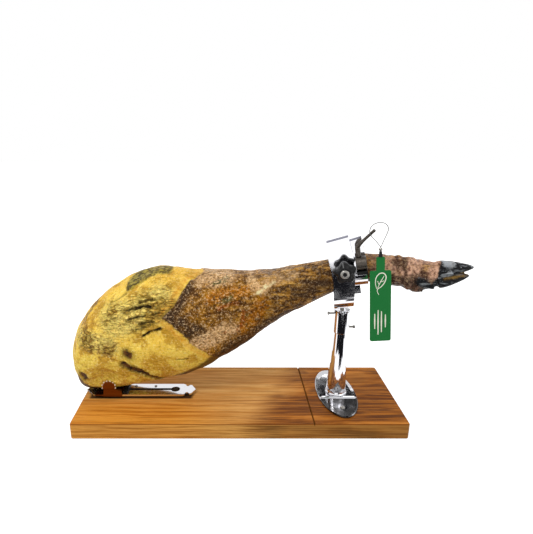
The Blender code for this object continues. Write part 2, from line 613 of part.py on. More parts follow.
# Ham stations, from the butt to the pastern. Each one gives the top and the bottom of
# the outline (x, z), the middle y, the half thickness, the lean of the section and
# how much narrower its bottom is than its top.
HAM_STATIONS = [
    ((-0.3238, 0.109), (-0.3238, 0.105), 0.026, 0.002, 0.15, 0.00),
    ((-0.3210, 0.133), (-0.3170, 0.081), 0.026, 0.026, 0.15, 0.05),
    ((-0.3125, 0.159), (-0.3110, 0.0575), 0.026, 0.044, 0.15, 0.12),
    ((-0.2965, 0.187), (-0.2985, 0.0405), 0.027, 0.057, 0.15, 0.20),
    ((-0.2730, 0.214), (-0.2750, 0.0385), 0.028, 0.066, 0.15, 0.22),
    ((-0.2450, 0.2365), (-0.2440, 0.040), 0.029, 0.072, 0.15, 0.22),
    ((-0.2050, 0.2585), (-0.2050, 0.049), 0.029, 0.077, 0.15, 0.22),
    ((-0.1550, 0.2740), (-0.1550, 0.059), 0.028, 0.078, 0.14, 0.20),
    ((-0.1000, 0.272), (-0.1000, 0.073), 0.025, 0.074, 0.12, 0.18),
    ((-0.0450, 0.271), (-0.0450, 0.0985), 0.022, 0.067, 0.10, 0.16),
    ((0.0100, 0.2735), (0.0100, 0.1360), 0.018, 0.057, 0.07, 0.14),
    ((0.0600, 0.279), (0.0600, 0.1770), 0.013, 0.045, 0.05, 0.12),
    ((0.1050, 0.288), (0.1050, 0.2050), 0.008, 0.037, 0.02, 0.10),
    ((0.1450, 0.2985), (0.1450, 0.2275), 0.003, 0.032, 0.00, 0.08),
    ((0.1780, 0.3060), (0.1810, 0.2470), 0.000, 0.0265, 0.00, 0.05),
    ((0.2080, 0.3150), (0.2140, 0.2632), -0.0045, 0.0245, 0.00, 0.02),
    ((0.2420, 0.3160), (0.2450, 0.2640), -0.0128, 0.0240, 0.00, 0.00),
    ((0.2850, 0.3145), (0.2830, 0.2600), -0.024, 0.0260, 0.00, 0.02),
    ((0.3180, 0.3105), (0.3130, 0.2590), -0.036, 0.0250, 0.00, 0.00),
    ((0.3370, 0.3090), (0.3320, 0.2650), -0.043, 0.0190, 0.00, 0.00),
]
CLAMP_SPAN = (0.140, 0.235)

# Claws and dewclaws: start, end, half width and half height
CLAWS = [
    ((0.3350, -0.0450, 0.2970), (0.3930, -0.0530, 0.3040), 0.0125, 0.0162),
    ((0.3300, -0.0600, 0.2800), (0.3800, -0.0660, 0.2940), 0.0120, 0.0140),
    ((0.2990, -0.0500, 0.2795), (0.3290, -0.0600, 0.2670), 0.0075, 0.0080),
    ((0.2880, -0.0380, 0.2680), (0.3150, -0.0470, 0.2570), 0.0080, 0.0085),
]


def blend(values, k, t):
    """Smooth step between four neighbouring stations."""
    p0, p1, p2, p3 = values[k:k + 4]
    return 0.5 * (2 * p1 + (p2 - p0) * t + (2 * p0 - 5 * p1 + 4 * p2 - p3) * t * t
                  + (3 * p1 - 3 * p2 + p3 - p0) * t ** 3)


def station_table():
    """Stations as flat rows, with a mirrored row before the butt so that it closes round."""
    rows = [(*top, *bottom, y, half, lean, narrow) for top, bottom, y, half, lean, narrow in HAM_STATIONS]
    first = rows[1]
    ghost = (first[2], first[3], first[0], first[1], first[4], -first[5], first[6], first[7])
    last = rows[-1]
    before = rows[-2]
    after = tuple(2 * a - b for a, b in zip(last, before))
    return [ghost, *rows, after]


def relief(point):
    """Low lumps of the dried surface, fading out where the clamp holds the shank."""
    lump = noise.noise(point * 28.0) + 0.5 * noise.noise(point * 61.0)
    start, end = CLAMP_SPAN
    held = max(0.0, 1.0 - max(start - point.x, point.x - end, 0.0) / 0.03)
    size = 0.0016 if point.x < 0.05 else 0.0009
    return lump * size * (1.0 - held)


def ham_ring(row):
    """One closed ring of the ham's skin from a station row."""
    top, bottom = Vector((row[0], 0.0, row[1])), Vector((row[2], 0.0, row[3]))
    y, half, lean, narrow = row[4:]
    middle = (top + bottom) / 2
    up = (top - bottom) / 2
    ring = []
    for k in range(RING_POINTS):
        angle = 2 * pi * k / RING_POINTS
        rise, side = sin(angle), cos(angle)
        fullness = 2.3 - 0.3 * min(1.0, max(0.0, middle.x / 0.12))
        full = (abs(rise) ** fullness + abs(side) ** fullness) ** (-1 / fullness)
        rise, side = rise * full, side * full
        width = half * side * (1.0 + narrow * rise)
        point = middle + up * rise + Vector((0.0, y + width + lean * up.z * rise, 0.0))
        away = (up * rise / max(up.length, 1e-4) + Vector((0.0, side, 0.0))).normalized()
        point += away * relief(point)
        ring.append(point)
    return ring


def press_on_support(bm):
    """Flatten the butt where it lies on the support's floor and dent it behind the toothed crest."""
    margin = 0.0115
    back = SUPPORT_Y + SUPPORT_THICK / 2 + 2 * GAP
    for vert in bm.verts:
        x, _, z = vert.co
        if x < SUPPORT_RIGHT + 0.02:
            vert.co.z = max(z, HAM_REST_Z)
        from_crest = hypot(x - CREST_X, z - CREST_Z) - CREST_RADIUS
        from_base = max(SUPPORT_LEFT - x, x - SUPPORT_RIGHT, z - SUPPORT_STEP)
        away = max(0.0, min(from_crest, from_base) - margin)
        if away < 0.03:
            vert.co.y = max(vert.co.y, back - away)


def claw(mat, start, end, width, height):
    """A horny claw: a wedge with a round wall, a flat sole and a blunt point."""
    axis = (end - start).normalized()
    side = axis.cross(Vector((0, 0, 1))).normalized()
    up = side.cross(axis)
    rings = []
    for share, wide, tall in ((0.0, 0.90, 0.92), (0.12, 1.0, 1.0), (0.35, 0.98, 0.88), (0.60, 0.82, 0.64),
                              (0.80, 0.60, 0.42), (0.93, 0.36, 0.24), (1.0, 0.14, 0.10)):
        centre = start.lerp(end, share)
        ring = []
        for k in range(18):
            angle = 2 * pi * k / 18
            lift = max(sin(angle), -0.72) * tall * height
            ring.append(centre + side * cos(angle) * wide * width + up * lift)
        rings.append(ring)
    return add_object("claw", loft(rings), mat)


def make_ham(skin):
    """The whole ham in one solid: butt, shank and foot, with claws and dewclaws."""
    table = station_table()
    rings = []
    for k in range(len(HAM_STATIONS) - 1):
        for s in range(RINGS_PER_STATION):
            t = s / RINGS_PER_STATION
            columns = list(zip(*table[k:k + 4]))
            rings.append(ham_ring([blend(column, 0, t) for column in columns]))
    rings.append(ham_ring(table[len(HAM_STATIONS)]))
    bm = loft(rings)
    press_on_support(bm)
    ham = add_object("ham", bm, skin)
    claws = [claw(skin, Vector(start), Vector(end), width, height)
             for start, end, width, height in CLAWS]
    combine(ham, claws, "UNION")


def build():
    """Make every sub-part of the ham and its stand."""
    clear_scene()
    wood = finish("oiled_wood", (0.45, 0.21, 0.06), 0.45)
    chrome = finish("polished_chrome", (0.80, 0.80, 0.82), 0.08, 1.0)
    steel = finish("dull_steel", (0.42, 0.41, 0.40), 0.35, 1.0)
    black = finish("black_plastic", (0.02, 0.02, 0.022), 0.35)
    green = finish("green_plastic", (0.010, 0.137, 0.035), 0.45)
    skin = finish("cured_skin", (0.55, 0.32, 0.06), 0.50)
    make_board(wood)
    make_foot_plate(chrome, steel)
    make_column(chrome)
    make_sleeve(chrome, steel)
    swivel, head = head_frames()
    make_ears(swivel, chrome, steel)
    make_yoke(head, chrome)
    make_cradle(head, chrome)
    make_knob(head, steel, black)
    barrel_y, barrel_top = make_barrel(head, steel, black)
    make_handle(head, steel, barrel_y, barrel_top)
    make_tag(green, black, steel)
    make_strip(chrome, steel)
    make_support(chrome, black)
    make_ham(skin)


build()
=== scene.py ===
# %% [markdown]
# # A cured ham on its carving stand
#
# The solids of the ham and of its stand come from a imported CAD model. This file gives
# them their looks: polished metal, oiled wood, dried skin and yellow fat. The model is
# loaded as it is, in metres, with +Z up, the hoof to +X and the viewer at -Y.

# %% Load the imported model
import json
from math import cos, pi, radians, sin

import bpy
import numpy as np
from mathutils import Matrix, Vector, noise


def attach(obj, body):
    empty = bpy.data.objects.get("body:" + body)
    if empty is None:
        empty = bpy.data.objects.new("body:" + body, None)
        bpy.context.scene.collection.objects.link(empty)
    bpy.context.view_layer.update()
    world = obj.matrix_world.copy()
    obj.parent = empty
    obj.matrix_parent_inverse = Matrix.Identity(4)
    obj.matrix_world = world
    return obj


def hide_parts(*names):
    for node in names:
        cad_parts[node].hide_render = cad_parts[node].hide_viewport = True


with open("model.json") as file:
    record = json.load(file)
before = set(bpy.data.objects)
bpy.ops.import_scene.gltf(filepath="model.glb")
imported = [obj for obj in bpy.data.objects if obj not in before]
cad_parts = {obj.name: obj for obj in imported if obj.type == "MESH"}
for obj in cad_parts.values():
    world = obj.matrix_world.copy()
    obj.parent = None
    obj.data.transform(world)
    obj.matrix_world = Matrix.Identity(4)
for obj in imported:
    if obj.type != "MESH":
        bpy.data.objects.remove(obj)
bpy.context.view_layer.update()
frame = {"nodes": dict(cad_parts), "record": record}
joints = {joint["name"]: joint for joint in frame["record"]["behaviour"]["joints"]}
print("nodes:", len(frame["nodes"]), "joints:", list(joints))

# %% [markdown]
# ## The camera
#
# A product photograph is often taken with a fairly short lens from a little above. The
# height of the camera and its tilt decide how much of the board's top shows, and the
# shift moves the frame sideways without turning the camera, so uprights stay parallel.

# %% Camera
CAMERA_PLACE = (-0.0192, -0.7661, 0.5174)
TILT_DOWN = 16.634
LENS_MM = 29.93
SENSOR_MM = 36.0
SHIFT_RIGHT = 0.0707

camera_data = bpy.data.cameras.new("camera")
camera = bpy.data.objects.new("camera", camera_data)
bpy.context.scene.collection.objects.link(camera)
camera.location = CAMERA_PLACE
camera.rotation_euler = (radians(90 - TILT_DOWN), 0.0, 0.0)
camera_data.sensor_fit = "HORIZONTAL"
camera_data.sensor_width = SENSOR_MM
camera_data.lens = LENS_MM
camera_data.shift_x = SHIFT_RIGHT
camera_data.clip_start = 0.01
bpy.context.scene.camera = camera
bpy.context.scene.view_settings.view_transform = "Standard"
print("lens", LENS_MM, "mm, tilted down by", TILT_DOWN, "degrees")

# %% [markdown]
# ## The studio
#
# The floor and the air around the stand are nearly white. They look brighter to the
# camera and in reflections than they shine on the object, so the shade stays soft and
# the ground still comes out white.

# %% Floor and air
MATT = 0.9


def deselect_all():
    """Nothing selected, so that the next operator works on its own object alone."""
    if bpy.context.mode != "OBJECT":
        bpy.ops.object.mode_set(mode="OBJECT")
    bpy.ops.object.select_all(action="DESELECT")


def plain_material(name, colour):
    """A flat matt studio material, for the floor and the cards."""
    mat = bpy.data.materials.new(name)
    mat.use_nodes = True
    shader = mat.node_tree.nodes["Principled BSDF"]
    shader.inputs["Base Color"].default_value = (*colour, 1.0)
    shader.inputs["Roughness"].default_value = MATT
    shader.inputs["Emission Color"].default_value = (*colour, 1.0)
    shader.inputs["Emission Strength"].default_value = 0.0
    shader.inputs["Specular IOR Level"].default_value = 0.0
    return mat


def brighter_when_seen(tree, node, socket, plain, added):
    """Give a node a strength with more for the camera and reflections than for soft light."""
    light_path = tree.nodes.new("ShaderNodeLightPath")
    seen = tree.nodes.new("ShaderNodeMath")
    seen.operation = "MAXIMUM"
    tree.links.new(light_path.outputs["Is Camera Ray"], seen.inputs[0])
    tree.links.new(light_path.outputs["Is Glossy Ray"], seen.inputs[1])
    level = tree.nodes.new("ShaderNodeMath")
    level.operation = "MULTIPLY_ADD"
    tree.links.new(seen.outputs[0], level.inputs[0])
    level.inputs[1].default_value = added
    level.inputs[2].default_value = plain
    tree.links.new(level.outputs[0], tree.nodes[node].inputs[socket])


deselect_all()
bpy.ops.mesh.primitive_plane_add(size=12.0, location=(0.0, 2.0, -0.0005))
floor = bpy.context.object
floor.name = "studio_floor"
floor_white = plain_material("studio_white", (0.75, 0.75, 0.75))
brighter_when_seen(floor_white.node_tree, "Principled BSDF", "Emission Strength", 0.0, 0.95)
floor.data.materials.append(floor_white)

world = bpy.data.worlds.new("studio_air")
world.use_nodes = True
world.node_tree.nodes["Background"].inputs["Color"].default_value = (1.0, 1.0, 1.0, 1.0)
brighter_when_seen(world.node_tree, "Background", "Strength", 0.60, 0.40)
bpy.context.scene.world = world
print("the floor and the air are white")

# %% [markdown]
# ### Lamps and cards
#
# Two soft lamps stand above on the left and the right, and a third one behind. Polished
# metal only looks like metal when it has something dark to mirror, so dark cards stand
# where the camera can't see them: four on the floor in front, one high up behind. They
# show in reflections alone and throw no shade.

# %% Lamps and cards
CARD_BLACK = (0.01, 0.01, 0.012)
CARD_LEVEL = 0.003


def aimed(place, target, own_axis):
    """The turn that points a thing's own axis from its place at a target."""
    return (Vector(target) - Vector(place)).to_track_quat(own_axis, "Y").to_euler()


def soft_lamp(name, place, target, size, watts):
    """A square area lamp that points at a target."""
    data = bpy.data.lights.new(name, "AREA")
    data.shape = "SQUARE"
    data.size = size
    data.energy = watts
    lamp = bpy.data.objects.new(name, data)
    bpy.context.scene.collection.objects.link(lamp)
    lamp.location = place
    lamp.rotation_euler = aimed(place, target, "-Z")


def dark_card(name, place, target, width, height):
    """A dark card that only reflections see."""
    deselect_all()
    bpy.ops.mesh.primitive_plane_add(size=1.0, location=place)
    card = bpy.context.object
    card.name = name
    card.scale = (width, height, 1.0)
    card.rotation_euler = aimed(place, target, "Z")
    card.data.materials.append(plain_material(name, CARD_BLACK))
    card.visible_camera = False
    card.visible_diffuse = False
    card.visible_shadow = False
    card.visible_transmission = False


soft_lamp("key_light", (-0.9, -0.9, 1.5), (0.0, 0.0, 0.15), size=0.5, watts=14.0)
soft_lamp("fill_light", (1.3, -0.7, 1.0), (0.1, 0.0, 0.15), size=0.9, watts=3.0)
soft_lamp("back_light", (0.3, 1.3, 1.3), (0.0, 0.0, 0.2), size=1.0, watts=6.0)
FLOOR_CARDS = (("card_for_the_clamp", -0.04, -0.83, 0.50, 0.40),
               ("card_right_of_the_column", 0.47, -0.36, 0.62, 0.30),
               ("card_left_of_the_column", -0.30, -0.36, 0.66, 0.30),
               ("card_before_the_column", 0.095, -0.405, 0.14, 0.21))
for name, x, y, width, depth in FLOOR_CARDS:
    dark_card(name, (x, y, CARD_LEVEL), (x, y, 1.0), width, depth)
dark_card("card_for_the_foot_plate", (0.47, 0.98, 0.74), (0.19, 0.0, 0.03), 0.40, 0.26)
print("three lamps and", len(FLOOR_CARDS) + 1, "cards are up")

# %% [markdown]
# ## Building materials from nodes
#
# Each finish is a small graph of nodes. A short helper adds a node and joins its inputs,
# so that a graph can be read from top to bottom like a recipe. Everything reads Object
# coordinates, so the patterns stay on the object wherever it is used.

# %% Node helper
class Graph:
    """Adds nodes to one tree and links them by name."""

    def __init__(self, tree):
        self.tree = tree

    def feed(self, socket, value):
        """Link another socket to an input, or set the input's own value."""
        if isinstance(value, bpy.types.NodeSocket):
            self.tree.links.new(value, socket)
        else:
            socket.default_value = value

    def add(self, kind, settings=None, **inputs):
        """One node: settings are its properties, inputs are values or sockets."""
        node = self.tree.nodes.new("ShaderNode" + kind)
        for key, value in (settings or {}).items():
            setattr(node, key, value)
        for key, value in inputs.items():
            self.feed(node.inputs[int(key[1:]) if key[0] == "_" else key.replace("_", " ")], value)
        return node

    def math(self, operation, a, b=0.0, clamp=False):
        """The result of one sum on two values or sockets."""
        return self.add("Math", {"operation": operation, "use_clamp": clamp}, _0=a, _1=b).outputs[0]

    def times(self, a, b):
        """The product of two values or sockets."""
        return self.math("MULTIPLY", a, b)

    def dot(self, vector, axis):
        """How far a vector reaches along an axis."""
        node = self.add("VectorMath", {"operation": "DOT_PRODUCT"}, _0=vector, _1=tuple(axis))
        return node.outputs["Value"]

    def mix(self, share, first, second):
        """Two colours mixed by a share."""
        settings = {"data_type": "RGBA", "clamp_factor": True}
        return self.add("Mix", settings, _0=share, _6=first, _7=second).outputs[2]

    def layers(self, colour, *laid_over):
        """Colours laid over a first one in turn, each a pair of its share and itself."""
        for share, over in laid_over:
            colour = self.mix(share, colour, over)
        return colour

    def ramp(self, value, low, high, bottom=0.0, top=1.0):
        """A value stretched from low..high to bottom..top, and held there."""
        settings = {"interpolation_type": "SMOOTHSTEP", "clamp": True}
        return self.add("MapRange", settings, _0=value, _1=low, _2=high, _3=bottom, _4=top).outputs[0]

    def coords(self, scale=(1.0, 1.0, 1.0), turn=(0.0, 0.0, 0.0)):
        """Object coordinates, stretched and turned."""
        place = self.add("TexCoord").outputs["Object"]
        return self.add("Mapping", Vector=place, Scale=scale, Rotation=turn).outputs[0]

    def sides(self):
        """The x, y and z of the Object coordinates."""
        return self.add("SeparateXYZ", Vector=self.add("TexCoord").outputs["Object"]).outputs

    def noise(self, vector, scale, detail=4.0, rough=0.55):
        """A noise value."""
        node = self.add("TexNoise", Vector=vector, Scale=scale, Detail=detail, Roughness=rough)
        return node.outputs["Fac"]


def new_material(name):
    """An empty node material: itself, its graph and its Principled shader."""
    mat = bpy.data.materials.new(name)
    mat.use_nodes = True
    return mat, Graph(mat.node_tree), mat.node_tree.nodes["Principled BSDF"]


def wire(graph, shader, **inputs):
    """Join sockets or values to the shader's own inputs."""
    for key, value in inputs.items():
        graph.feed(shader.inputs[key.replace("_", " ")], value)


def rgb(red, green, blue):
    """A screen colour of 0..255 numbers as the linear values that the shader wants."""
    parts = []
    for part in (red / 255, green / 255, blue / 255):
        parts.append(part / 12.92 if part <= 0.04045 else ((part + 0.055) / 1.055) ** 2.4)
    return (*parts, 1.0)


print("middle grey is", round(rgb(128, 128, 128)[0], 3), "in linear light")

# %% [markdown]
# ## Handling marks
#
# All the finishes of the stand share one effect: faint smears and specks from use. It is
# a node group, built once, with its own values in each material.

# %% Shared group: smears and specks
FINER = 14.0

smears = bpy.data.node_groups.new("smears_and_specks", "ShaderNodeTree")
for name, value in (("Scale", 20.0), ("Base Roughness", 0.1), ("Spread", 0.1)):
    socket = smears.interface.new_socket(name=name, in_out="INPUT", socket_type="NodeSocketFloat")
    socket.default_value = value
for name in ("Roughness", "Specks", "Height"):
    smears.interface.new_socket(name=name, in_out="OUTPUT", socket_type="NodeSocketFloat")
g = Graph(smears)
inside = smears.nodes.new("NodeGroupInput")
outside = smears.nodes.new("NodeGroupOutput")
place = g.coords()
cloud = g.noise(place, inside.outputs["Scale"], 5.0, 0.6)
fine = g.noise(place, g.times(inside.outputs["Scale"], FINER), 3.0, 0.6)
dull = g.times(g.ramp(cloud, 0.42, 0.72), inside.outputs["Spread"])
g.feed(outside.inputs["Roughness"], g.math("ADD", inside.outputs["Base Roughness"], dull))
g.feed(outside.inputs["Specks"], g.ramp(fine, 0.66, 0.74))
g.feed(outside.inputs["Height"], g.math("ADD", cloud, g.times(fine, 0.3)))


def add_smears(graph, scale, rough, spread):
    """Place the shared group in a material, and give its outputs."""
    node = graph.tree.nodes.new("ShaderNodeGroup")
    node.node_tree = smears
    for name, value in (("Scale", scale), ("Base Roughness", rough), ("Spread", spread)):
        node.inputs[name].default_value = value
    return node.outputs


print("the group has", len(smears.nodes), "nodes")

# %% [markdown]
# ## Metal
#
# The column, the plates and the straps are bright chrome. It mirrors the room, so its own
# colour is nearly white, and all its life comes from faint ripples in the plating and
# from smears. The bolts, the barrel and the handle are duller steel.

# %% Chrome and steel
CHROME_WHITE = rgb(232, 232, 236)
STEEL_GREY = rgb(150, 147, 142)
DIRT_BROWN = rgb(70, 62, 54)


def metal(name, colour, rough, spread, ripple, scale, dirt):
    """A metal with ripples, smears and a little dirt."""
    mat, graph, shader = new_material(name)
    marks = add_smears(graph, scale, rough, spread)
    tint = graph.mix(graph.times(marks["Specks"], dirt), colour, DIRT_BROWN)
    bump = graph.add("Bump", Strength=ripple, Distance=0.0016, Height=marks["Height"])
    wire(graph, shader, Base_Color=tint, Metallic=1.0, Roughness=marks["Roughness"],
         Normal=bump.outputs[0])
    return mat


def plated(name, colour=CHROME_WHITE):
    """Chrome: smooth, hardly rippled and almost clean."""
    return metal(name, colour, rough=0.05, spread=0.09, ripple=0.012, scale=22.0, dirt=0.25)


chrome = plated("polished_chrome")
steel = metal("dull_steel", STEEL_GREY, rough=0.24, spread=0.16, ripple=0.25, scale=60.0, dirt=0.6)
dark_steel = metal("worn_dark_steel", rgb(84, 78, 72), rough=0.26, spread=0.18, ripple=0.35,
                   scale=70.0, dirt=0.7)
wire_steel = metal("twisted_wire_steel", rgb(98, 98, 96), rough=0.40, spread=0.15, ripple=0.35,
                   scale=90.0, dirt=0.5)
print("chrome and three steels")

# %% [markdown]
# ## The clamp screw's thread
#
# A thread this fine is a bump: a sine wave along the screw's own axis, which the joint in
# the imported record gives.

# %% Threaded steel
SCREW_PITCH = 0.00125
knob_joint = joints["knob_turn"]
threaded_steel = metal("threaded_steel", STEEL_GREY, rough=0.22, spread=0.14, ripple=0.2,
                       scale=60.0, dirt=0.6)
g = Graph(threaded_steel.node_tree)
along_screw = g.dot(g.add("TexCoord").outputs["Object"], knob_joint["axis"])
ridge = g.math("SINE", g.times(along_screw, 2 * pi / SCREW_PITCH))
bump = g.add("Bump", Strength=0.9, Distance=0.0003, Height=ridge)
wire(g, threaded_steel.node_tree.nodes["Principled BSDF"], Normal=bump.outputs[0])
print("thread pitch", SCREW_PITCH * 1000, "mm")

# %% [markdown]
# ## Metals with a mark of their own
#
# The two straps have a grey band along their upper edge, a painted reflection of a bevelled
# edge, which is duller as well. The strip's end under the butt has fat stains and painted
# shade, the rest is painted brown as a reflection of the wood with painted highlights on its
# teeth, and the foot plate has a painted dark reflection in clouds. Each mark is a mask on
# Object coordinates, mixed into the chrome's colour and roughness. The clamp head's own
# directions come from its two joints.

# %% Marked chrome
HEAD_UP = -Vector(joints["handle_turn"]["axis"])
HEAD_ALONG = HEAD_UP.cross(Vector(knob_joint["axis"]))
HEAD_CENTRE = (0.17742, 0.003386, 0.280691)
BEVEL_BAND_WIDTH = 0.0034
BEVEL_REFLECTION_GREY = rgb(150, 150, 162)
CREST = (-0.2479, 0.0570)
CREST_RADIUS = 0.0141
RIB_Y = -0.0215


def marked_chrome(name, make_mask, colour, rough, plain=CHROME_WHITE):
    """Chrome with one marked area in another colour and roughness."""
    mat = plated(name, plain)
    graph = Graph(mat.node_tree)
    shader = mat.node_tree.nodes["Principled BSDF"]
    mask = make_mask(graph)
    base = shader.inputs["Base Color"].links[0].from_socket
    old_rough = shader.inputs["Roughness"].links[0].from_socket
    wire(graph, shader, Base_Color=graph.mix(mask, base, colour),
         Roughness=graph.math("ADD", old_rough, graph.times(mask, rough)))
    return mat


def bevel_reflection_band(first, last):
    """A mask maker for the painted reflection band below a strap's top edge, given by its two corners
    (along, up).
    """
    slope = (last[1] - first[1]) / (last[0] - first[0])
    start = first[1] - first[0] * slope - BEVEL_BAND_WIDTH

    def make(graph):
        place = graph.add("TexCoord").outputs["Object"]
        off = graph.add("VectorMath", {"operation": "SUBTRACT"}, _0=place, _1=HEAD_CENTRE).outputs[0]
        edge = graph.math("ADD", graph.times(graph.dot(off, HEAD_ALONG), slope), start)
        return graph.ramp(graph.math("SUBTRACT", graph.dot(off, HEAD_UP), edge), -0.0003, 0.0003)
    return make


def fat_stain_and_shade(graph):
    """Dark smears of fat on the end of the strip under the butt, with painted shade from the ham above."""
    blots = graph.noise(graph.coords(), 120.0, 5.0, 0.6)
    return graph.times(graph.ramp(graph.sides()[0], -0.218, -0.262), graph.ramp(blots, 0.34, 0.52))


def tooth_highlights(graph):
    """The outer rim of the crest, where the points get painted highlights."""
    sides = graph.sides()
    flat = graph.add("CombineXYZ", X=sides[0], Y=sides[2]).outputs[0]
    away = graph.add("VectorMath", {"operation": "DISTANCE"}, _0=flat, _1=(*CREST, 0.0)).outputs["Value"]
    rim = graph.ramp(away, CREST_RADIUS - 0.0030, CREST_RADIUS - 0.0014)
    return graph.times(rim, graph.ramp(sides[2], CREST[1] - 0.0060, CREST[1] - 0.0030))


def painted_dark_reflection(graph):
    """Painted dark reflection in clouds on the foot plate, heavier in front of its rib and none on the rib.
    """
    sides = graph.sides()
    clouds = graph.noise(graph.coords((1.0, 0.8, 1.0)), 42.0, 5.0, 0.6)
    in_front = graph.ramp(sides[1], RIB_Y + 0.001, RIB_Y - 0.004, 0.0, 0.16)
    cover = graph.ramp(graph.math("ADD", clouds, in_front), 0.46, 0.66)
    off_rib = graph.math("ABSOLUTE", graph.math("SUBTRACT", sides[1], RIB_Y))
    return graph.times(graph.times(cover, graph.ramp(off_rib, 0.0035, 0.0060)), 0.92)


# The grey band on the straps is a painted reflection of a bevelled top edge, and is duller too.
yoke_bevel_reflection = bevel_reflection_band((-0.0087, 0.0662), (0.0281, 0.0712))
cradle_bevel_reflection = bevel_reflection_band((0.0243, 0.0610), (0.0487, 0.0650))
# The foot plate's dark clouds are a painted dark reflection.
plate_chrome = marked_chrome("plate_chrome", painted_dark_reflection, rgb(62, 60, 58), 0.12, rgb(206, 206, 210))
yoke_chrome = marked_chrome("yoke_chrome", yoke_bevel_reflection, BEVEL_REFLECTION_GREY, 0.30)
cradle_chrome = marked_chrome("cradle_chrome", cradle_bevel_reflection, BEVEL_REFLECTION_GREY, 0.30)
# The strip's dark end is partly fat and partly painted shade under the butt.
strip_chrome = marked_chrome("strip_chrome", fat_stain_and_shade, rgb(70, 46, 26), 0.35)
# The rest's brown colour is a painted reflection of the wood, and its bright teeth are painted highlights.
rest_painted_reflections = marked_chrome("rest_painted_reflections", tooth_highlights, rgb(250, 250, 252), 0.45, rgb(120, 80, 46))
print("the clamp head's up is", [round(part, 3) for part in HEAD_UP])

# %% [markdown]
# ## Black plastic
#
# The star knob and the small blocks are moulded black plastic with a fine grain that
# scatters the light.

# %% Black plastic
black_plastic, g, shader = new_material("black_moulded_plastic")
marks = add_smears(g, 40.0, 0.30, 0.22)
grain = g.noise(g.coords(), 1400.0, 2.0)
bump = g.add("Bump", Strength=0.25, Distance=0.0002, Height=grain)
wire(g, shader, Base_Color=g.mix(marks["Specks"], rgb(12, 12, 13), rgb(48, 46, 44)),
     Roughness=marks["Roughness"], Normal=bump.outputs[0], Specular_IOR_Level=0.22)
print(black_plastic.name, "is ready")

# %% [markdown]
# ## Oiled wood
#
# The board is one plank with its grain along its length. Long stretched noise makes the
# streaks, a second finer one the pores, and the oil has darkened the middle and the right
# more than the left, which is brighter and more orange.

# %% Oiled wood
BOARD_TOP = 0.030

wood, g, shader = new_material("oiled_wood")
sway = g.times(g.noise(g.coords((2.0, 5.0, 5.0)), 1.2, 3.0), 1.2)
swayed = g.add("CombineXYZ", Y=sway, Z=sway).outputs[0]


def grain_noise(stretch, across, scale, detail):
    """Noise drawn out along the plank, carried by the slow sway of the grain."""
    moved = g.add("VectorMath", {"operation": "ADD"}, _0=g.coords((stretch, across, across)), _1=swayed)
    return g.noise(moved.outputs[0], scale, detail, 0.62)


streaks = grain_noise(1.6, 44.0, 3.0, 7.0)
lines = grain_noise(3.0, 130.0, 3.0, 6.0)
pores = g.noise(g.coords((30.0, 520.0, 520.0)), 2.0, 3.0)
patches = g.noise(g.coords((1.0, 3.2, 2.0)), 6.0, 4.0, 0.55)
along, across, up = g.sides()

pale = g.mix(g.ramp(streaks, 0.38, 0.62), rgb(226, 170, 96), rgb(196, 134, 62))
brown = g.mix(g.ramp(streaks, 0.38, 0.62), rgb(198, 120, 34), rgb(142, 78, 18))
orange = g.mix(g.ramp(streaks, 0.40, 0.62), rgb(226, 148, 48), rgb(192, 112, 22))
edge_grain = g.mix(g.ramp(lines, 0.42, 0.60), rgb(216, 168, 92), rgb(140, 100, 46))
uneven = g.times(g.math("SUBTRACT", patches, 0.5), 1.8)
rightwards = g.math("SUBTRACT", along, g.times(across, 0.5))
darkened = g.math("ADD", g.ramp(rightwards, 0.03, 0.14), uneven, clamp=True)
near_left = g.times(g.ramp(along, 0.06, -0.14), g.ramp(across, 0.01, -0.06))
burnt = g.times(g.ramp(rightwards, 0.04, 0.11), g.ramp(patches, 0.44, 0.58))
on_edge = g.ramp(up, BOARD_TOP - 0.0004, BOARD_TOP - 0.0014)
top_rim = g.times(g.ramp(up, BOARD_TOP - 0.0016, BOARD_TOP - 0.0004),
                  g.ramp(up, BOARD_TOP - 0.00002, BOARD_TOP - 0.0004))
strip_length = g.times(g.ramp(along, -0.292, -0.284), g.ramp(along, -0.086, -0.094))
# Painted shade: the wood under the strip and just in front of it is darkened as its contact shadow, with old
# fat as well.
shade_under_strip = g.times(g.ramp(g.math("ABSOLUTE", across), 0.0225, 0.0185), strip_length)
tone = g.layers(
    g.mix(darkened, pale, brown),
    (g.times(near_left, 0.85), orange),
    (g.times(burnt, g.ramp(lines, 0.42, 0.58, 0.20, 0.95)), rgb(84, 44, 15)),
    (g.ramp(lines, 0.50, 0.70, 0.0, 0.50), rgb(110, 62, 22)),
    (g.ramp(pores, 0.62, 0.76, 0.0, 0.45), rgb(66, 38, 16)),
    (g.times(on_edge, 0.40), edge_grain),
    (g.times(on_edge, g.ramp(along, 0.0, 0.16, 0.0, 0.45)), rgb(98, 58, 22)),
    (g.times(shade_under_strip, 0.92), rgb(34, 20, 10)),
    (top_rim, rgb(112, 58, 18)))
height = g.math("SUBTRACT", g.times(lines, 0.5), g.times(pores, 0.5))
bump = g.add("Bump", Strength=0.22, Distance=0.0005, Height=height)
wire(g, shader, Base_Color=tone, Roughness=g.ramp(streaks, 0.3, 0.7, 0.42, 0.60),
     Normal=bump.outputs[0], Specular_IOR_Level=0.07)
print(wood.name, "is ready")

# %% [markdown]
# ## The tag's plastic
#
# A plain green plastic label. Its face is slightly uneven, as thin moulded sheet is.

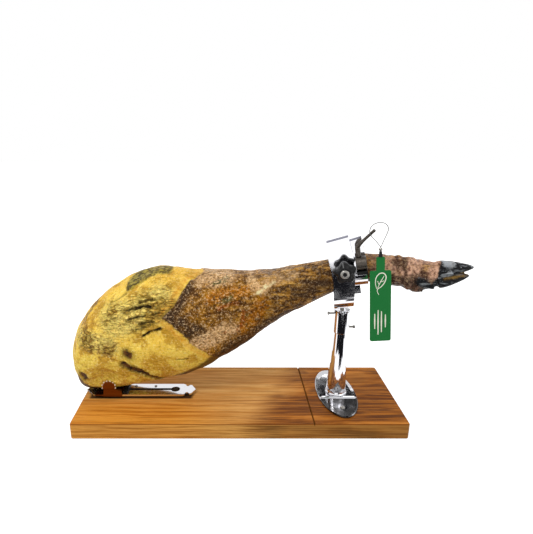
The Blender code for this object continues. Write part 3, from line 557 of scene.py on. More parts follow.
# %% Green tag plastic
green_plastic, g, shader = new_material("green_tag_plastic")
marks = add_smears(g, 30.0, 0.42, 0.15)
wave = g.noise(g.coords(), 45.0, 2.0)
bump = g.add("Bump", Strength=0.2, Distance=0.0008, Height=wave)
wire(g, shader, Base_Color=g.mix(marks["Specks"], rgb(16, 108, 46), rgb(34, 122, 62)),
     Roughness=marks["Roughness"], Normal=bump.outputs[0], Specular_IOR_Level=0.2)
printed, g, shader = new_material("cream_print")
marks = add_smears(g, 60.0, 0.5, 0.2)
wire(g, shader, Base_Color=g.mix(marks["Specks"], rgb(236, 232, 214), rgb(190, 205, 180)),
     Roughness=marks["Roughness"])
print(green_plastic.name, "and", printed.name, "are ready")

# %% [markdown]
# ## Dressing the stand
#
# The CAD nodes of the stand already have the right shapes. Each keeps its mesh and gets
# one of the finishes above.

# %% Finishes on the CAD nodes
def finish(mat, *names):
    """Give CAD nodes a finish in place of their plain one."""
    for name in names:
        node = frame["nodes"][name]
        node.data.materials.clear()
        node.data.materials.append(mat)


finish(wood, "board")
finish(chrome, "column", "sleeve", "ears", "cradle_bracket")
finish(plate_chrome, "foot_plate")
finish(yoke_chrome, "yoke")
finish(cradle_chrome, "cradle")
finish(strip_chrome, "strip")
finish(rest_painted_reflections, "toothed_support")
finish(wire_steel, "tag_loop")
finish(threaded_steel, "clamp_screw")
finish(steel, "plate_screw_front", "plate_screw_rear", "set_screw_upper", "set_screw_lower", "pivot_bolt",
       "knob_cap", "tag_clasp", "strip_screw_rear", "strip_screw_front")
finish(dark_steel, "handle", "barrel")
finish(black_plastic, "knob", "barrel_block", "tag_ferrule", "slider_lock")
finish(green_plastic, "tag")
print("the stand is dressed")

# %% [markdown]
# ## The knob's cap
#
# The bright cap in the middle of the star knob is the end of the screw, with a six-sided
# socket for a key. It is built upright at the origin from one disc by insets and short
# pushes, its socket is squared off into six sides, and then it is laid on the knob.

# %% Cap with its socket
CAP_RADIUS = 0.0073
CAP_THICK = 0.0010
CAP_DISC_MIDDLE = 0.0273
CAP_STEPS = ((0.0006, 0.0006), (0.0009, 0.0005), (0.0014, 0.0003))
SOCKET_RADIUS = 0.0036
SOCKET_DEPTH = 0.0014


def rim_step(inwards, upwards):
    """Inset the selected faces by a width and lift them."""
    bpy.ops.mesh.inset(thickness=inwards, depth=0.0)
    bpy.ops.transform.translate(value=(0.0, 0.0, upwards))


def reach(point):
    """How far a point is from the cap's axis."""
    return (point.x ** 2 + point.y ** 2) ** 0.5


deselect_all()
bpy.ops.mesh.primitive_cylinder_add(vertices=48, radius=CAP_RADIUS, depth=CAP_THICK,
                                    location=(0.0, 0.0, 0.0))
cap = bpy.context.object
cap.name = "knob_cap_socket"
bpy.ops.object.mode_set(mode="EDIT")
bpy.ops.mesh.select_mode(type="FACE")
bpy.ops.mesh.select_all(action="DESELECT")
bpy.ops.object.mode_set(mode="OBJECT")
for polygon in cap.data.polygons:
    polygon.select = polygon.normal.z > 0.9
bpy.ops.object.mode_set(mode="EDIT")
for inwards, upwards in CAP_STEPS:
    rim_step(inwards, upwards)
flat_radius = CAP_RADIUS - sum(inwards for inwards, _ in CAP_STEPS)
rim_step(flat_radius - SOCKET_RADIUS, -0.0002)
rim_step(0.0003, -SOCKET_DEPTH)
bpy.ops.object.mode_set(mode="OBJECT")
for vert in cap.data.vertices:
    if 0.0005 < reach(vert.co) < SOCKET_RADIUS + 0.0004:
        sixth = (np.arctan2(vert.co.y, vert.co.x) % (pi / 3)) - pi / 6
        share = 0.90 / cos(sixth)
        vert.co.x, vert.co.y = vert.co.x * share, vert.co.y * share
cap.data.materials.append(steel)
# The socket's faces take the black plastic: painted shade in the recess, with grease as well.
cap.data.materials.append(black_plastic)
for polygon in cap.data.polygons:
    in_shaded_socket = reach(polygon.center) < SOCKET_RADIUS and polygon.center.z > 0.0
    polygon.material_index = int(in_shaded_socket)
axis = Vector(knob_joint["axis"])
cap_place = Vector(knob_joint["pos_m"]) + axis * CAP_DISC_MIDDLE
cap.matrix_world = Matrix.Translation(cap_place) @ axis.to_track_quat("Z", "Y").to_matrix().to_4x4()
bpy.ops.object.transform_apply(location=True, rotation=True, scale=True)
bpy.ops.object.shade_smooth_by_angle(angle=radians(30))
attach(cap, "knob")
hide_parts("knob_cap")
print("cap:", len(cap.data.polygons), "faces")

# %% [markdown]
# ## The print on the tag
#
# The tag carries a pale print: a loose leaf drawn in one stroke above, and a few plain
# bars below. Each stroke is a curve with a round bevel, thicker in its middle, which is
# pressed flat, made a mesh and laid on the tag's face.

# %% Leaf and bars
TAG_PLACE = (0.2278, -0.0765, 0.3053)
TAG_TIP = radians(-7.0)
TAG_LEAN = radians(-3.0)
TAG_FACE = 0.00102
PRINT_HALF_THICK = 0.00016
THIN_END = 0.45
SWELL = 0.75


def printed_stroke(name, route, width):
    """One flat stroke through (across, up) points in millimetres on the tag's face."""
    deselect_all()
    bpy.ops.curve.primitive_bezier_curve_add(radius=1.0, location=(0.0, 0.0, 0.0))
    curve = bpy.context.object
    curve.name = name
    curve.data.splines.clear()
    spline = curve.data.splines.new("BEZIER")
    spline.bezier_points.add(len(route) - 1)
    for k, (point, (across, up)) in enumerate(zip(spline.bezier_points, route)):
        point.co = (across / 1000, up / 1000, 0.0)
        point.handle_left_type = point.handle_right_type = "AUTO"
        point.radius = THIN_END + SWELL * sin(pi * (k + 0.4) / (len(route) - 0.2))
    curve.data.dimensions = "3D"
    curve.data.resolution_u = 8
    curve.data.bevel_depth = width / 2000
    curve.data.bevel_resolution = 2
    curve.data.use_fill_caps = True
    bpy.ops.object.convert(target="MESH")
    piece = bpy.context.object
    for vert in piece.data.vertices:
        vert.co.z = max(-PRINT_HALF_THICK, min(PRINT_HALF_THICK, vert.co.z))
    face_front = Matrix.Rotation(pi / 2, 4, "X")
    lift = Matrix.Translation((0.0, -TAG_FACE - PRINT_HALF_THICK, 0.0))
    turn = Matrix.Rotation(TAG_LEAN, 4, "Y") @ Matrix.Rotation(TAG_TIP, 4, "X")
    piece.matrix_world = Matrix.Translation(TAG_PLACE) @ turn @ lift @ face_front
    bpy.ops.object.transform_apply(location=True, rotation=True, scale=True)
    piece.data.materials.clear()
    piece.data.materials.append(printed)
    bpy.ops.object.shade_smooth_by_angle(angle=radians(30))
    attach(piece, "handle")


LEAF = [(-6.5, -30.0), (-8.5, -20.0), (-6.0, -9.0), (2.0, -4.0), (8.0, -8.0), (7.5, -17.0), (1.5, -26.0),
        (-5.5, -32.0), (-3.0, -40.0)]
VEINS = [[(-5.0, -29.0), (-0.5, -19.0), (5.5, -9.0)],
         [(-2.5, -24.0), (-5.0, -17.0)],
         [(0.5, -18.5), (5.5, -17.0)]]
BARS = [(-9.5, -72.0, -98.0), (-4.0, -66.0, -108.0), (1.5, -68.0, -104.0), (8.0, -74.0, -96.0)]
printed_stroke("tag_print_leaf", LEAF, 1.5)
for k, route in enumerate(VEINS):
    printed_stroke("tag_print_vein_" + str(k + 1), route, 1.1)
for k, (across, top, low) in enumerate(BARS):
    route = [(across, top), (across, (top + low) / 2), (across, low)]
    printed_stroke("tag_print_bar_" + str(k + 1), route, 1.9)
print("the tag is printed")

# %% [markdown]
# ## The ham's form
#
# The CAD solid gives the ham's size and its main form. For the dried surface a copy of it
# is remeshed into an even net of small squares, and the squares are then pushed in and
# out: lumps and folds first, then the single marks that the photograph shows.

# %% Remesh a copy of the ham
NET_SQUARE = 0.0022
SAME_POINT = 0.00001


def apply_modifier(kind, **settings):
    """Add a modifier with its settings to the active object, and apply it."""
    bpy.ops.object.modifier_add(type=kind)
    modifier = bpy.context.object.modifiers[-1]
    for key, value in settings.items():
        setattr(modifier, key, value)
    bpy.ops.object.modifier_apply(modifier=modifier.name)


deselect_all()
ham = frame["nodes"]["ham"].copy()
ham.data = frame["nodes"]["ham"].data.copy()
ham.name = "ham_surface"
bpy.context.scene.collection.objects.link(ham)
ham.select_set(True)
bpy.context.view_layer.objects.active = ham
bpy.ops.object.mode_set(mode="EDIT")
bpy.ops.mesh.select_all(action="SELECT")
bpy.ops.mesh.remove_doubles(threshold=SAME_POINT)
bpy.ops.object.mode_set(mode="OBJECT")
apply_modifier("REMESH", mode="VOXEL", voxel_size=NET_SQUARE)
apply_modifier("SMOOTH", factor=0.5, iterations=3)
print("ham net:", len(ham.data.vertices), "points")

# %% [markdown]
# ## Marks as soft strokes
#
# A mark is a line of (x, z) points seen from the front, with a width. Every point of the
# net gets a value from 0 to 1 by how close it is to the line, on the front, and more
# weakly on the back where the mark goes round. The values are stored as attributes, and
# the material reads them.

# %% Stroke helper
SOFT_EDGE = 0.6

count = len(ham.data.vertices)


def net_vectors(name):
    """The points or the normals of the net, as rows of x, y and z."""
    values = np.empty(count * 3)
    ham.data.vertices.foreach_get(name, values)
    return values.reshape(count, 3)


def rise(value, width):
    """0 below zero, 1 above the width, and a straight rise between them."""
    return np.clip(value / width, 0.0, 1.0)


def wobble(scale, seed, stretch=(1.0, 1.0, 1.0)):
    """A smooth random value from about -1 to 1 at every point of the net."""
    shift = Vector((seed * 7.31, seed * 3.17, seed * 1.93))
    return np.array([noise.noise(Vector(p) * scale + shift) for p in points * np.array(stretch)])


points = net_vectors("co")
normals = net_vectors("normal")
facing = np.clip(1.6 - normals[:, 1] * 4.0, 0.0, 1.0)
ragged = wobble(110.0, 1) * 0.0018 + wobble(330.0, 2) * 0.0010


def stroke(path, width, rough, behind):
    """How strongly a soft stroke along (x, z) points covers each point of the net."""
    flat = points[:, [0, 2]]
    near = np.full(count, np.inf)
    path = [np.array(p) for p in path]
    ends = list(zip(path, path[1:])) or [(path[0], path[0] + 1e-6)]
    for start, end in ends:
        line = end - start
        share = rise((flat - start) @ line, line @ line)
        near = np.minimum(near, np.linalg.norm(flat - start - share[:, None] * line, axis=1))
    value = rise(width - near - ragged * rough, width * SOFT_EDGE)
    return value * value * (3 - 2 * value) * (facing + (1.0 - facing) * behind)


def strokes(*marks, rough=1.0, behind=0.0):
    """Several strokes laid over each other, each a path, a width and a strength."""
    total = np.zeros(count)
    for path, width, strength in marks:
        total = np.maximum(total, stroke(path, width, rough, behind) * strength)
    return total


print("the front is", round(float(facing.mean()), 2), "of the net")

# %% [markdown]
# ## Where the skin begins
#
# The skin was cut away in a V on the thick end, so the yellow fat shows there. The edge
# of the V runs from the top edge down to the left, turns, and runs down to the right. Along
# the lower edge the brown skin wraps round again.

# %% Skin and fat
V_EDGE = [(-0.048, 0.290), (-0.068, 0.2714), (-0.0919, 0.2638), (-0.1041, 0.2494), (-0.1172, 0.2289),
          (-0.1395, 0.2080), (-0.1225, 0.1955), (-0.1012, 0.1758), (-0.0803, 0.1527), (-0.0694, 0.1428),
          (-0.0590, 0.1322), (-0.040, 0.120), (-0.010, 0.118)]


def left_of(edge, rough):
    """Signed distance in x to the edge line, at each point's own height: positive on the skin."""
    heights = np.array([z for _, z in edge])[::-1]
    places = np.array([x for x, _ in edge])[::-1]
    wander = ragged * rough
    return points[:, 0] - np.interp(points[:, 2] + wander, heights, places) + wander


BEHIND_SHIFT = 0.05
back_edge = [(x + BEHIND_SHIFT, z) for x, z in V_EDGE]
front_skin = rise(left_of(V_EDGE, 1.0), 0.0022)
back_skin = rise(left_of(back_edge, 1.6), 0.0030)
skin = front_skin * facing + back_skin * (1.0 - facing)
print("skin covers", round(float(skin.mean()), 2), "of the net")

# %% [markdown]
# ## Pushing the surface
#
# The fat is cracked like dry earth in the middle of the V, with lumps round it. The skin
# is drawn into long wrinkles along the shank, and across the foot above the claws. Near
# the clamp and the rest the surface stays inside the CAD solid.

# %% Relief
CRACKS = [
    ([(-0.1850, 0.2229), (-0.1706, 0.2276), (-0.1580, 0.2265)], 0.0040, 1.0),
    ([(-0.2052, 0.2174), (-0.1942, 0.2214), (-0.1832, 0.2222)], 0.0024, 0.8),
    ([(-0.1711, 0.1741), (-0.1582, 0.1839), (-0.1396, 0.1882)], 0.0036, 1.0),
    ([(-0.1955, 0.2036), (-0.1810, 0.2095), (-0.1665, 0.2119)], 0.0026, 0.9),
    ([(-0.1792, 0.1960), (-0.1648, 0.2001), (-0.1523, 0.2021)], 0.0026, 0.8),
    ([(-0.1783, 0.2334), (-0.1639, 0.2372), (-0.1496, 0.2392)], 0.0022, 0.7),
    ([(-0.1523, 0.2139), (-0.1400, 0.2174)], 0.0022, 0.7),
    ([(-0.1831, 0.1868), (-0.1649, 0.1930), (-0.1577, 0.1969)], 0.0022, 0.7),
    ([(-0.2339, 0.2258), (-0.2049, 0.2423)], 0.0018, 0.5),
    ([(-0.2330, 0.2010), (-0.2180, 0.2050)], 0.0022, 0.6),
    ([(-0.1130, 0.1240), (-0.0930, 0.1265)], 0.0018, 0.5),
]
cracks = strokes(*CRACKS)
BIG_PIT = [(-0.2050, 0.1400), (-0.1990, 0.1350)]
SMALL_PIT = [(-0.2933, 0.0850), (-0.2900, 0.0790)]
groove = strokes(([(-0.2122, 0.1163), (-0.1984, 0.1041), (-0.1841, 0.0976)], 0.0082, 1.0),
                 ([(-0.1841, 0.0976), (-0.1750, 0.0900), (-0.1611, 0.0790), (-0.1440, 0.0690)],
                  0.0062, 1.0), rough=2.2)
pit = strokes((BIG_PIT, 0.0092, 1.0), (SMALL_PIT, 0.0088, 1.0), rough=1.8)
cracked = strokes(([(-0.225, 0.198), (-0.185, 0.212), (-0.140, 0.232)], 0.040, 1.0),
                  ([(-0.283, 0.159), (-0.236, 0.152)], 0.026, 1.0), behind=0.8)
hollow = strokes(([(-0.262, 0.128), (-0.215, 0.150), (-0.180, 0.163), (-0.150, 0.172)], 0.014, 1.0),
                 ([(-0.255, 0.190), (-0.225, 0.215), (-0.190, 0.238)], 0.010, 0.7))

CLAMPED = (0.148, 0.232)
REST_TOP = 0.078
REST_RIGHT = -0.19
EASE = 0.02
FAT_LOWER = 0.0012
HELD_BACK = 0.0003

along_x = points[:, 0]
held = 1.0 - rise(np.maximum(CLAMPED[0] - along_x, along_x - CLAMPED[1]), EASE)
resting = rise(REST_TOP - points[:, 2], EASE) * rise(REST_RIGHT - along_x, EASE)
free = 1.0 - np.maximum(held, resting)

lumps = wobble(26.0, 3) * 0.0022 + wobble(60.0, 4) * 0.0012
knots = 1.0 - np.abs(wobble(95.0, 0, (0.55, 1.0, 1.35))) * 2.0
wrinkles = wobble(150.0, 0, (0.28, 1.0, 1.0))
rings = wobble(120.0, 0, (1.0, 0.35, 0.5))
shank = rise(along_x - 0.02, 0.10)
foot = rise(along_x - 0.235, 0.02) * rise(0.330 - along_x, 0.015)
foot_tone = rise(along_x - 0.215, 0.06) * rise(0.352 - along_x, 0.012)
# Painted shade in the sunken folds across the foot.
fold_shade = np.clip(-rings * 4.0 - 0.1, 0.0, 1.0) * foot
horn_line = 0.3270 + (points[:, 2] - 0.29) * 0.45
dewclaws = strokes(([(0.3040, 0.2785), (0.3290, 0.2665)], 0.0115, 1.0))
horn = np.maximum(rise(along_x - horn_line - ragged * 0.6, 0.0015), dewclaws)

push = lumps * (1.0 - 0.6 * shank)
push += cracked * (1.0 - skin) * (knots - 0.65) * 0.0022
push += (skin - 1.0) * FAT_LOWER
push += skin * wrinkles * (0.0005 + 0.0015 * shank)
push += foot * rings * 0.0028
push -= cracks * 0.0042 + groove * 0.0040 + pit * 0.0030 + hollow * 0.0022
push *= (1.0 - horn)
push = np.where(free < 1.0, push * free - (1.0 - free) * HELD_BACK, push)
points += normals * push[:, None]
ham.data.vertices.foreach_set("co", points.ravel())
ham.data.update()
print("surface moves", round(float(push.min()) * 1000, 1), "to", round(float(push.max()) * 1000, 1), "mm")

# %% [markdown]
# ## Stains, bloom and colour fields
#
# The rest of the marks are only colour: a mouldy streak, dark stains, pale bloom, amber
# and red fields, a scraped place, and painted shade along the butt's outline and under it.
# They are stored on the net beside the first ones.

# %% Colour marks
mould = strokes(([(-0.2023, 0.2514), (-0.1838, 0.2627)], 0.0085, 1.0),
                ([(-0.1838, 0.2627), (-0.1667, 0.2701), (-0.1487, 0.2741), (-0.1306, 0.2743)], 0.0065, 0.9))
# The butt's dark lower corner is partly a stain and partly painted shade near the board.
butt_stain_and_shade = strokes(([(-0.310, 0.078), (-0.300, 0.060), (-0.285, 0.048), (-0.262, 0.043)],
                      0.0085, 0.95), rough=2.2)
stain_and_shade = np.maximum.reduce([pit, groove, butt_stain_and_shade])
halo = strokes((BIG_PIT, 0.0190, 0.8),
               ([(-0.2122, 0.1163), (-0.1841, 0.0976), (-0.150, 0.072)], 0.0120, 0.8),
               (SMALL_PIT, 0.0150, 0.8), rough=2.0)
bloom = strokes(([(-0.0734, 0.2658), (-0.0442, 0.2648), (-0.0170, 0.2696)], 0.0130, 0.8),
                ([(-0.0726, 0.1563), (-0.0492, 0.1694), (-0.0206, 0.1838)], 0.0230, 1.0),
                ([(0.0223, 0.2649), (0.0395, 0.2543), (0.0504, 0.2634)], 0.0120, 1.0),
                ([(0.060, 0.268), (0.100, 0.279)], 0.0100, 0.5), rough=2.0, behind=0.9)
verdigris = strokes(([(-0.0458, 0.2603), (-0.0206, 0.2667)], 0.0040, 0.8),
                    ([(-0.0277, 0.2366), (-0.0153, 0.2415)], 0.0060, 1.0),
                    ([(0.0130, 0.2113)], 0.0055, 0.7))
amber = strokes(([(-0.0524, 0.2380), (-0.0259, 0.2472), (0.0113, 0.2520)], 0.0120, 0.9),
                ([(0.0395, 0.2287), (0.0221, 0.2047), (0.0118, 0.1762)], 0.0190, 0.8), rough=2.4, behind=0.8)
rosy = strokes(([(-0.0382, 0.2236), (-0.0171, 0.2320), (0.0005, 0.2353)], 0.0050, 0.8),
               ([(0.0076, 0.2174), (0.0061, 0.1980), (-0.0081, 0.1809), (-0.0250, 0.1790)],
                0.0055, 0.9), rough=1.8)
scraped = strokes(([(0.0300, 0.2475), (0.0450, 0.2580), (0.0600, 0.2650)], 0.0036, 1.0), rough=1.6)
dark_skin = strokes(([(-0.100, 0.258), (-0.126, 0.212), (-0.100, 0.190), (-0.075, 0.180)], 0.026, 1.0),
                    ([(0.0995, 0.2494), (0.1238, 0.2603), (0.1515, 0.2677)], 0.0150, 0.9),
                    ([(-0.0446, 0.1240), (0.0011, 0.1590), (0.0373, 0.1830), (0.0913, 0.2100)], 0.0120, 0.9),
                    ([(0.2682, 0.2790), (0.2973, 0.2740), (0.3200, 0.2850)], 0.0100, 1.0), behind=0.8)
rough_patch = strokes(([(-0.288, 0.172), (-0.262, 0.140), (-0.240, 0.136)], 0.024, 1.0),
                      ([(-0.262, 0.185), (-0.245, 0.172)], 0.016, 0.6), behind=0.7)
# Painted shade: a dark line along the butt's upper outline, where the surface turns away.
limb_shade = strokes(([(-0.2020, 0.2720), (-0.2385, 0.2480), (-0.2560, 0.2320)], 0.0036, 1.0),
               ([(-0.2640, 0.2230), (-0.2730, 0.2100), (-0.2850, 0.1900)], 0.0030, 0.8),
               rough=1.3, behind=1.0)
orange_rim = (1.0 - rise(np.abs(left_of(V_EDGE, 1.0) + 0.009), 0.010)) * facing * 0.8
LOWER_EDGE = [(-0.140, 0.070), (-0.106, 0.090), (-0.072, 0.113), (-0.051, 0.130), (-0.024, 0.146),
              (0.060, 0.182), (0.105, 0.208), (0.145, 0.230)]
lower_edge = np.interp(along_x, *zip(*LOWER_EDGE))
low_dark = rise(lower_edge - points[:, 2] + ragged * 1.5, 0.007)
low_dark *= rise(0.16 - along_x, 0.02) * rise(along_x + 0.16, 0.04) * 0.85
sole_line = 0.2885 + (along_x - 0.336) * 0.20
sole = horn * (1.0 - rise(np.abs(points[:, 2] - sole_line), 0.0032)) * (along_x > 0.335)
foot_dark = foot * rise(0.293 - (along_x - 0.24) * 0.06 - points[:, 2], 0.008)
MARKS = {"skin": skin, "shank": np.clip((along_x + 0.01) / 0.09, 0.15, 1.0), "limb_shade": limb_shade,
         "rough_patch": rough_patch, "orange_rim": orange_rim, "low_dark": low_dark, "sole": sole,
         "foot_dark": foot_dark, "halo": halo, "horn": horn, "cracks": cracks, "mould": mould,
         "cracked": cracked * (1.0 - skin), "shaded_valleys": np.clip(0.12 - wrinkles * 3.2, 0.0, 1.0),
         "highlit_ridges": np.clip(wrinkles * 3.2 - 0.25, 0.0, 1.0), "fold_shade": fold_shade,
         "stain_and_shade": stain_and_shade, "bloom": bloom, "verdigris": verdigris, "amber": amber, "rosy": rosy,
         "scraped": scraped, "dark_skin": dark_skin, "foot_skin": foot_tone}
for name, values in MARKS.items():
    attribute = ham.data.attributes.new(name, "FLOAT", "POINT")
    attribute.data.foreach_set("value", np.asarray(values, dtype=np.float32))
print(len(MARKS), "fields on the net")

# %% [markdown]
# ## Skin, fat and horn
#
# One material covers the whole ham. Fat, skin and horn are mixed by the stored fields,
# and noise at several sizes gives each its own specks, veins and gloss.

# %% Ham material
cured, g, shader = new_material("cured_skin_and_fat")


def field(name):
    """The stored value of a field on the net."""
    return g.add("Attribute", {"attribute_name": name}).outputs["Fac"]


place = g.coords()
height_z = g.add("SeparateXYZ", Vector=place).outputs[2]
broad = g.noise(place, 9.0, 4.0)
middle = g.noise(place, 34.0, 6.0, 0.6)
small = g.noise(place, 130.0, 6.0, 0.65)
grain = g.noise(place, 250.0, 4.0, 0.75)
tiny = g.noise(place, 620.0, 3.0, 0.75)
streak = g.noise(g.coords((0.25, 1.0, 1.0), (0.0, 0.30, 0.0)), 170.0, 6.0, 0.65)
print("five sizes of noise and the streaks are ready")

# %% [markdown]
# ### Folds of the dried fat
#
# Cells of two sizes are bent by noise, drawn out sideways and tilted a little. Their
# borders sink as seams, painted darker as shade in the creases, and their middles stand up as pads.

# %% Folds of the dried fat
drawn_out = g.coords((0.42, 1.0, 1.35), (0.0, 0.30, 0.0))
bent = g.add("TexNoise", Vector=drawn_out, Scale=60.0, Detail=4.0, Roughness=0.6).outputs["Color"]
bent = g.add("VectorMath", {"operation": "SCALE"}, _0=bent, Scale=0.020).outputs[0]
bent = g.add("VectorMath", {"operation": "ADD"}, _0=drawn_out, _1=bent).outputs[0]
folds = g.add("TexVoronoi", {"feature": "DISTANCE_TO_EDGE"}, Vector=bent, Scale=120.0).outputs["Distance"]
crumbs = g.add("TexVoronoi", {"feature": "DISTANCE_TO_EDGE"}, Vector=bent, Scale=260.0).outputs["Distance"]
seam_shade = g.math("MAXIMUM", g.ramp(folds, 0.10, 0.01), g.ramp(crumbs, 0.05, 0.0, 0.0, 0.5))
seam_shade = g.times(seam_shade, g.ramp(middle, 0.44, 0.60, 0.10, 1.0))
seam_shade = g.times(seam_shade, g.math("MAXIMUM", field("cracked"), 0.10))
puff = g.times(g.ramp(folds, 0.0, 0.22), g.math("MAXIMUM", field("cracked"), 0.12))
print("the folds have", len(g.tree.nodes), "nodes so far")

# %% [markdown]
# ### Colour of the fat
#
# Broad gold clouds come first, then olive lower down, cream on the cracked part, fine
# grain over everything, and the single marks last.

# %% Colour of the fat
def broken(name, value, low, high, bottom=0.0, top=1.0):
    """A stored field, broken up by a stretched noise value."""
    return g.times(field(name), g.ramp(value, low, high, bottom, top))


rim_colour = g.mix(g.ramp(small, 0.40, 0.62), rgb(240, 190, 84), rgb(214, 140, 26))
fat = g.layers(
    g.mix(g.ramp(broad, 0.36, 0.60), rgb(236, 184, 58), rgb(255, 216, 92)),
    (g.ramp(middle, 0.46, 0.58, 0.0, 0.85), rgb(196, 144, 34)),
    (g.times(g.ramp(height_z, 0.185, 0.07), g.ramp(middle, 0.60, 0.42, 0.0, 0.80)), rgb(216, 190, 72)),
    (g.times(field("halo"), 0.8), rgb(146, 118, 34)),
    (g.times(g.ramp(height_z, 0.15, 0.06), g.ramp(small, 0.44, 0.60, 0.0, 0.7)), rgb(186, 136, 38)),
    (broken("cracked", middle, 0.60, 0.46, 0.3, 1.0), rgb(255, 224, 116)),
    (broken("cracked", small, 0.52, 0.64, 0.0, 0.7), rgb(172, 116, 32)),
    (broken("rough_patch", small, 0.46, 0.60, 0.0, 0.9), rgb(156, 112, 48)),
    (g.ramp(grain, 0.54, 0.64, 0.0, 0.50), rgb(132, 98, 32)),
    (g.ramp(grain, 0.46, 0.38, 0.0, 0.55), rgb(255, 234, 150)),
    (field("orange_rim"), rim_colour),
    (broken("mould", small, 0.60, 0.46, 0.5, 0.9), rgb(150, 136, 40)),
    (broken("mould", small, 0.44, 0.54, 0.0, 0.9), rgb(50, 42, 18)),
    # The seams' olive-brown is painted shade in the creases.
    (g.times(seam_shade, g.ramp(small, 0.36, 0.58, 0.30, 0.95)), rgb(112, 84, 26)),
    (g.times(field("limb_shade"), 0.85), rgb(86, 54, 24)),
    (field("cracks"), rgb(52, 40, 16)))
print("with the fat:", len(g.tree.nodes), "nodes")

# %% [markdown]
# ### Colour of the skin
#
# The skin goes from tan to dark brown. Along the shank its ridges get painted highlights and
# its valleys painted shade, and bloom, amber and red fields lie over it before the grain.

# %% Colour of the skin
drawn = field("shank")
highlight_speck_share = g.math("ADD", g.times(field("bloom"), 0.45), g.ramp(drawn, 0.0, 1.0, 0.52, 0.26))
hide = g.layers(
    g.mix(g.ramp(middle, 0.40, 0.60), rgb(160, 112, 52), rgb(104, 66, 28)),
    # Painted shade in the wrinkles' valleys and painted highlights on their ridges.
    (g.times(field("shaded_valleys"), g.times(drawn, 0.85)), rgb(44, 27, 12)),
    (g.times(field("highlit_ridges"), g.times(drawn, 0.80)), rgb(206, 160, 92)),
    (g.times(g.ramp(streak, 0.44, 0.60, 0.0, 0.85), drawn), rgb(58, 36, 18)),
    (g.times(g.ramp(streak, 0.47, 0.34, 0.0, 0.80), drawn), rgb(190, 148, 92)),
    (g.ramp(small, 0.52, 0.62, 0.0, 0.75), rgb(60, 36, 16)),
    (g.ramp(small, 0.46, 0.36, 0.0, 0.55), rgb(196, 148, 84)),
    (broken("amber", small, 0.66, 0.42, 0.0, 0.75), rgb(182, 108, 20)),
    (broken("rosy", small, 0.62, 0.42, 0.0, 0.75), rgb(150, 66, 34)),
    (broken("dark_skin", small, 0.66, 0.44, 0.25, 0.95), rgb(52, 34, 22)),
    (broken("bloom", small, 0.36, 0.58, 0.20, 0.90), rgb(220, 180, 134)),
    (broken("verdigris", small, 0.62, 0.45, 0.0, 0.85), rgb(38, 74, 44)),
    (broken("foot_skin", middle, 0.64, 0.44, 0.2, 1.0), rgb(214, 172, 148)),
    (broken("foot_skin", small, 0.50, 0.62, 0.0, 0.85), rgb(104, 68, 56)),
    (broken("foot_dark", small, 0.66, 0.46, 0.3, 0.95), rgb(48, 30, 22)),
    (g.times(field("fold_shade"), 0.85), rgb(58, 36, 26)),
    (g.times(g.ramp(grain, 0.50, 0.40, 0.0, 0.70), g.ramp(drawn, 0.0, 1.0, 1.0, 0.65)), rgb(46, 28, 12)),
    # The pale specks on the skin are painted highlights.
    (g.times(g.ramp(grain, 0.53, 0.62), highlight_speck_share), rgb(240, 208, 166)),
    (g.ramp(tiny, 0.62, 0.70, 0.0, 0.55), rgb(244, 226, 200)),
    (broken("scraped", small, 0.62, 0.46), rgb(228, 214, 168)))
hide = g.add("HueSaturation", Saturation=1.10, Value=1.06, Color=hide).outputs[0]
print("with the skin:", len(g.tree.nodes), "nodes")

# %% [markdown]
# ### Horn, stains and gloss
#
# The hoof is black horn with painted highlights: paler streaks, pale specks and a paler top
# where the light falls on it. Then fat, skin, stains with painted shade and horn are laid over
# each other, and the bumps go from coarse to fine.

# %% Horn, stains and gloss
HORN_GLOSS = (0.22, 0.22, 0.22, 1.0)

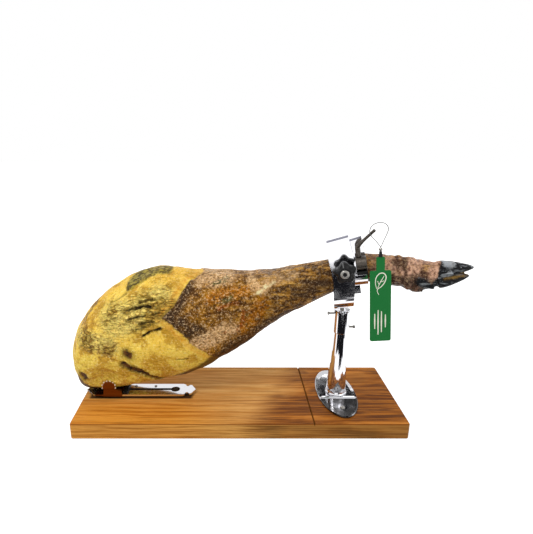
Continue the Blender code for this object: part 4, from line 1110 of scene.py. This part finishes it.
mottle = g.ramp(small, 0.4, 0.6)
facing_up = g.add("SeparateXYZ", Vector=g.add("NewGeometry").outputs["Normal"]).outputs[2]
lit = g.times(g.ramp(facing_up, 0.0, 0.7), g.ramp(middle, 0.52, 0.62, 0.0, 0.75))
nail = g.layers(
    # The horn's paler streaks, its paler top and its pale specks are painted highlights.
    g.mix(g.ramp(streak, 0.52, 0.64), rgb(16, 17, 19), rgb(110, 113, 116)),
    (lit, rgb(190, 194, 198)),
    (g.ramp(grain, 0.60, 0.70, 0.0, 0.6), rgb(206, 210, 214)),
    (field("sole"), g.mix(mottle, rgb(58, 40, 18), rgb(140, 108, 48))))
colour = g.layers(
    g.mix(field("skin"), fat, hide),
    (field("stain_and_shade"), g.mix(mottle, rgb(38, 24, 16), rgb(96, 58, 26))),
    (field("low_dark"), g.mix(mottle, rgb(38, 22, 12), rgb(96, 58, 26))),
    (field("horn"), nail))
fat_gloss = g.ramp(small, 0.35, 0.65, 0.34, 0.60)
skin_gloss = g.ramp(middle, 0.40, 0.60, 0.24, 0.50)
gloss = g.layers(g.mix(field("skin"), fat_gloss, skin_gloss), (field("horn"), HORN_GLOSS))
creases = g.math("SUBTRACT", puff, g.times(seam_shade, 0.8))
bumps = g.add("Bump", Strength=1.0, Distance=0.0034, Height=creases)
for strength, distance, height in ((0.50, 0.0022, middle), (0.70, 0.0012, small),
                                   (0.45, 0.0005, g.math("ADD", tiny, streak))):
    bumps = g.add("Bump", Strength=strength, Distance=distance, Height=height, Normal=bumps.outputs[0])
wire(g, shader, Base_Color=colour, Roughness=gloss, Normal=bumps.outputs[0], Subsurface_Weight=0.05,
     Subsurface_Radius=(0.006, 0.003, 0.001), Specular_IOR_Level=0.10)
print("the ham's material has", len(g.tree.nodes), "nodes")

# %% [markdown]
# ## Dressing the ham
#
# The finished surface takes the place of the plain CAD node and stays with the stand.

# %% Dress the ham
ham.data.materials.clear()
ham.data.materials.append(cured)
for polygon in ham.data.polygons:
    polygon.use_smooth = True
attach(ham, "stand")
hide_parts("ham")
print("the ham stands for its CAD node")
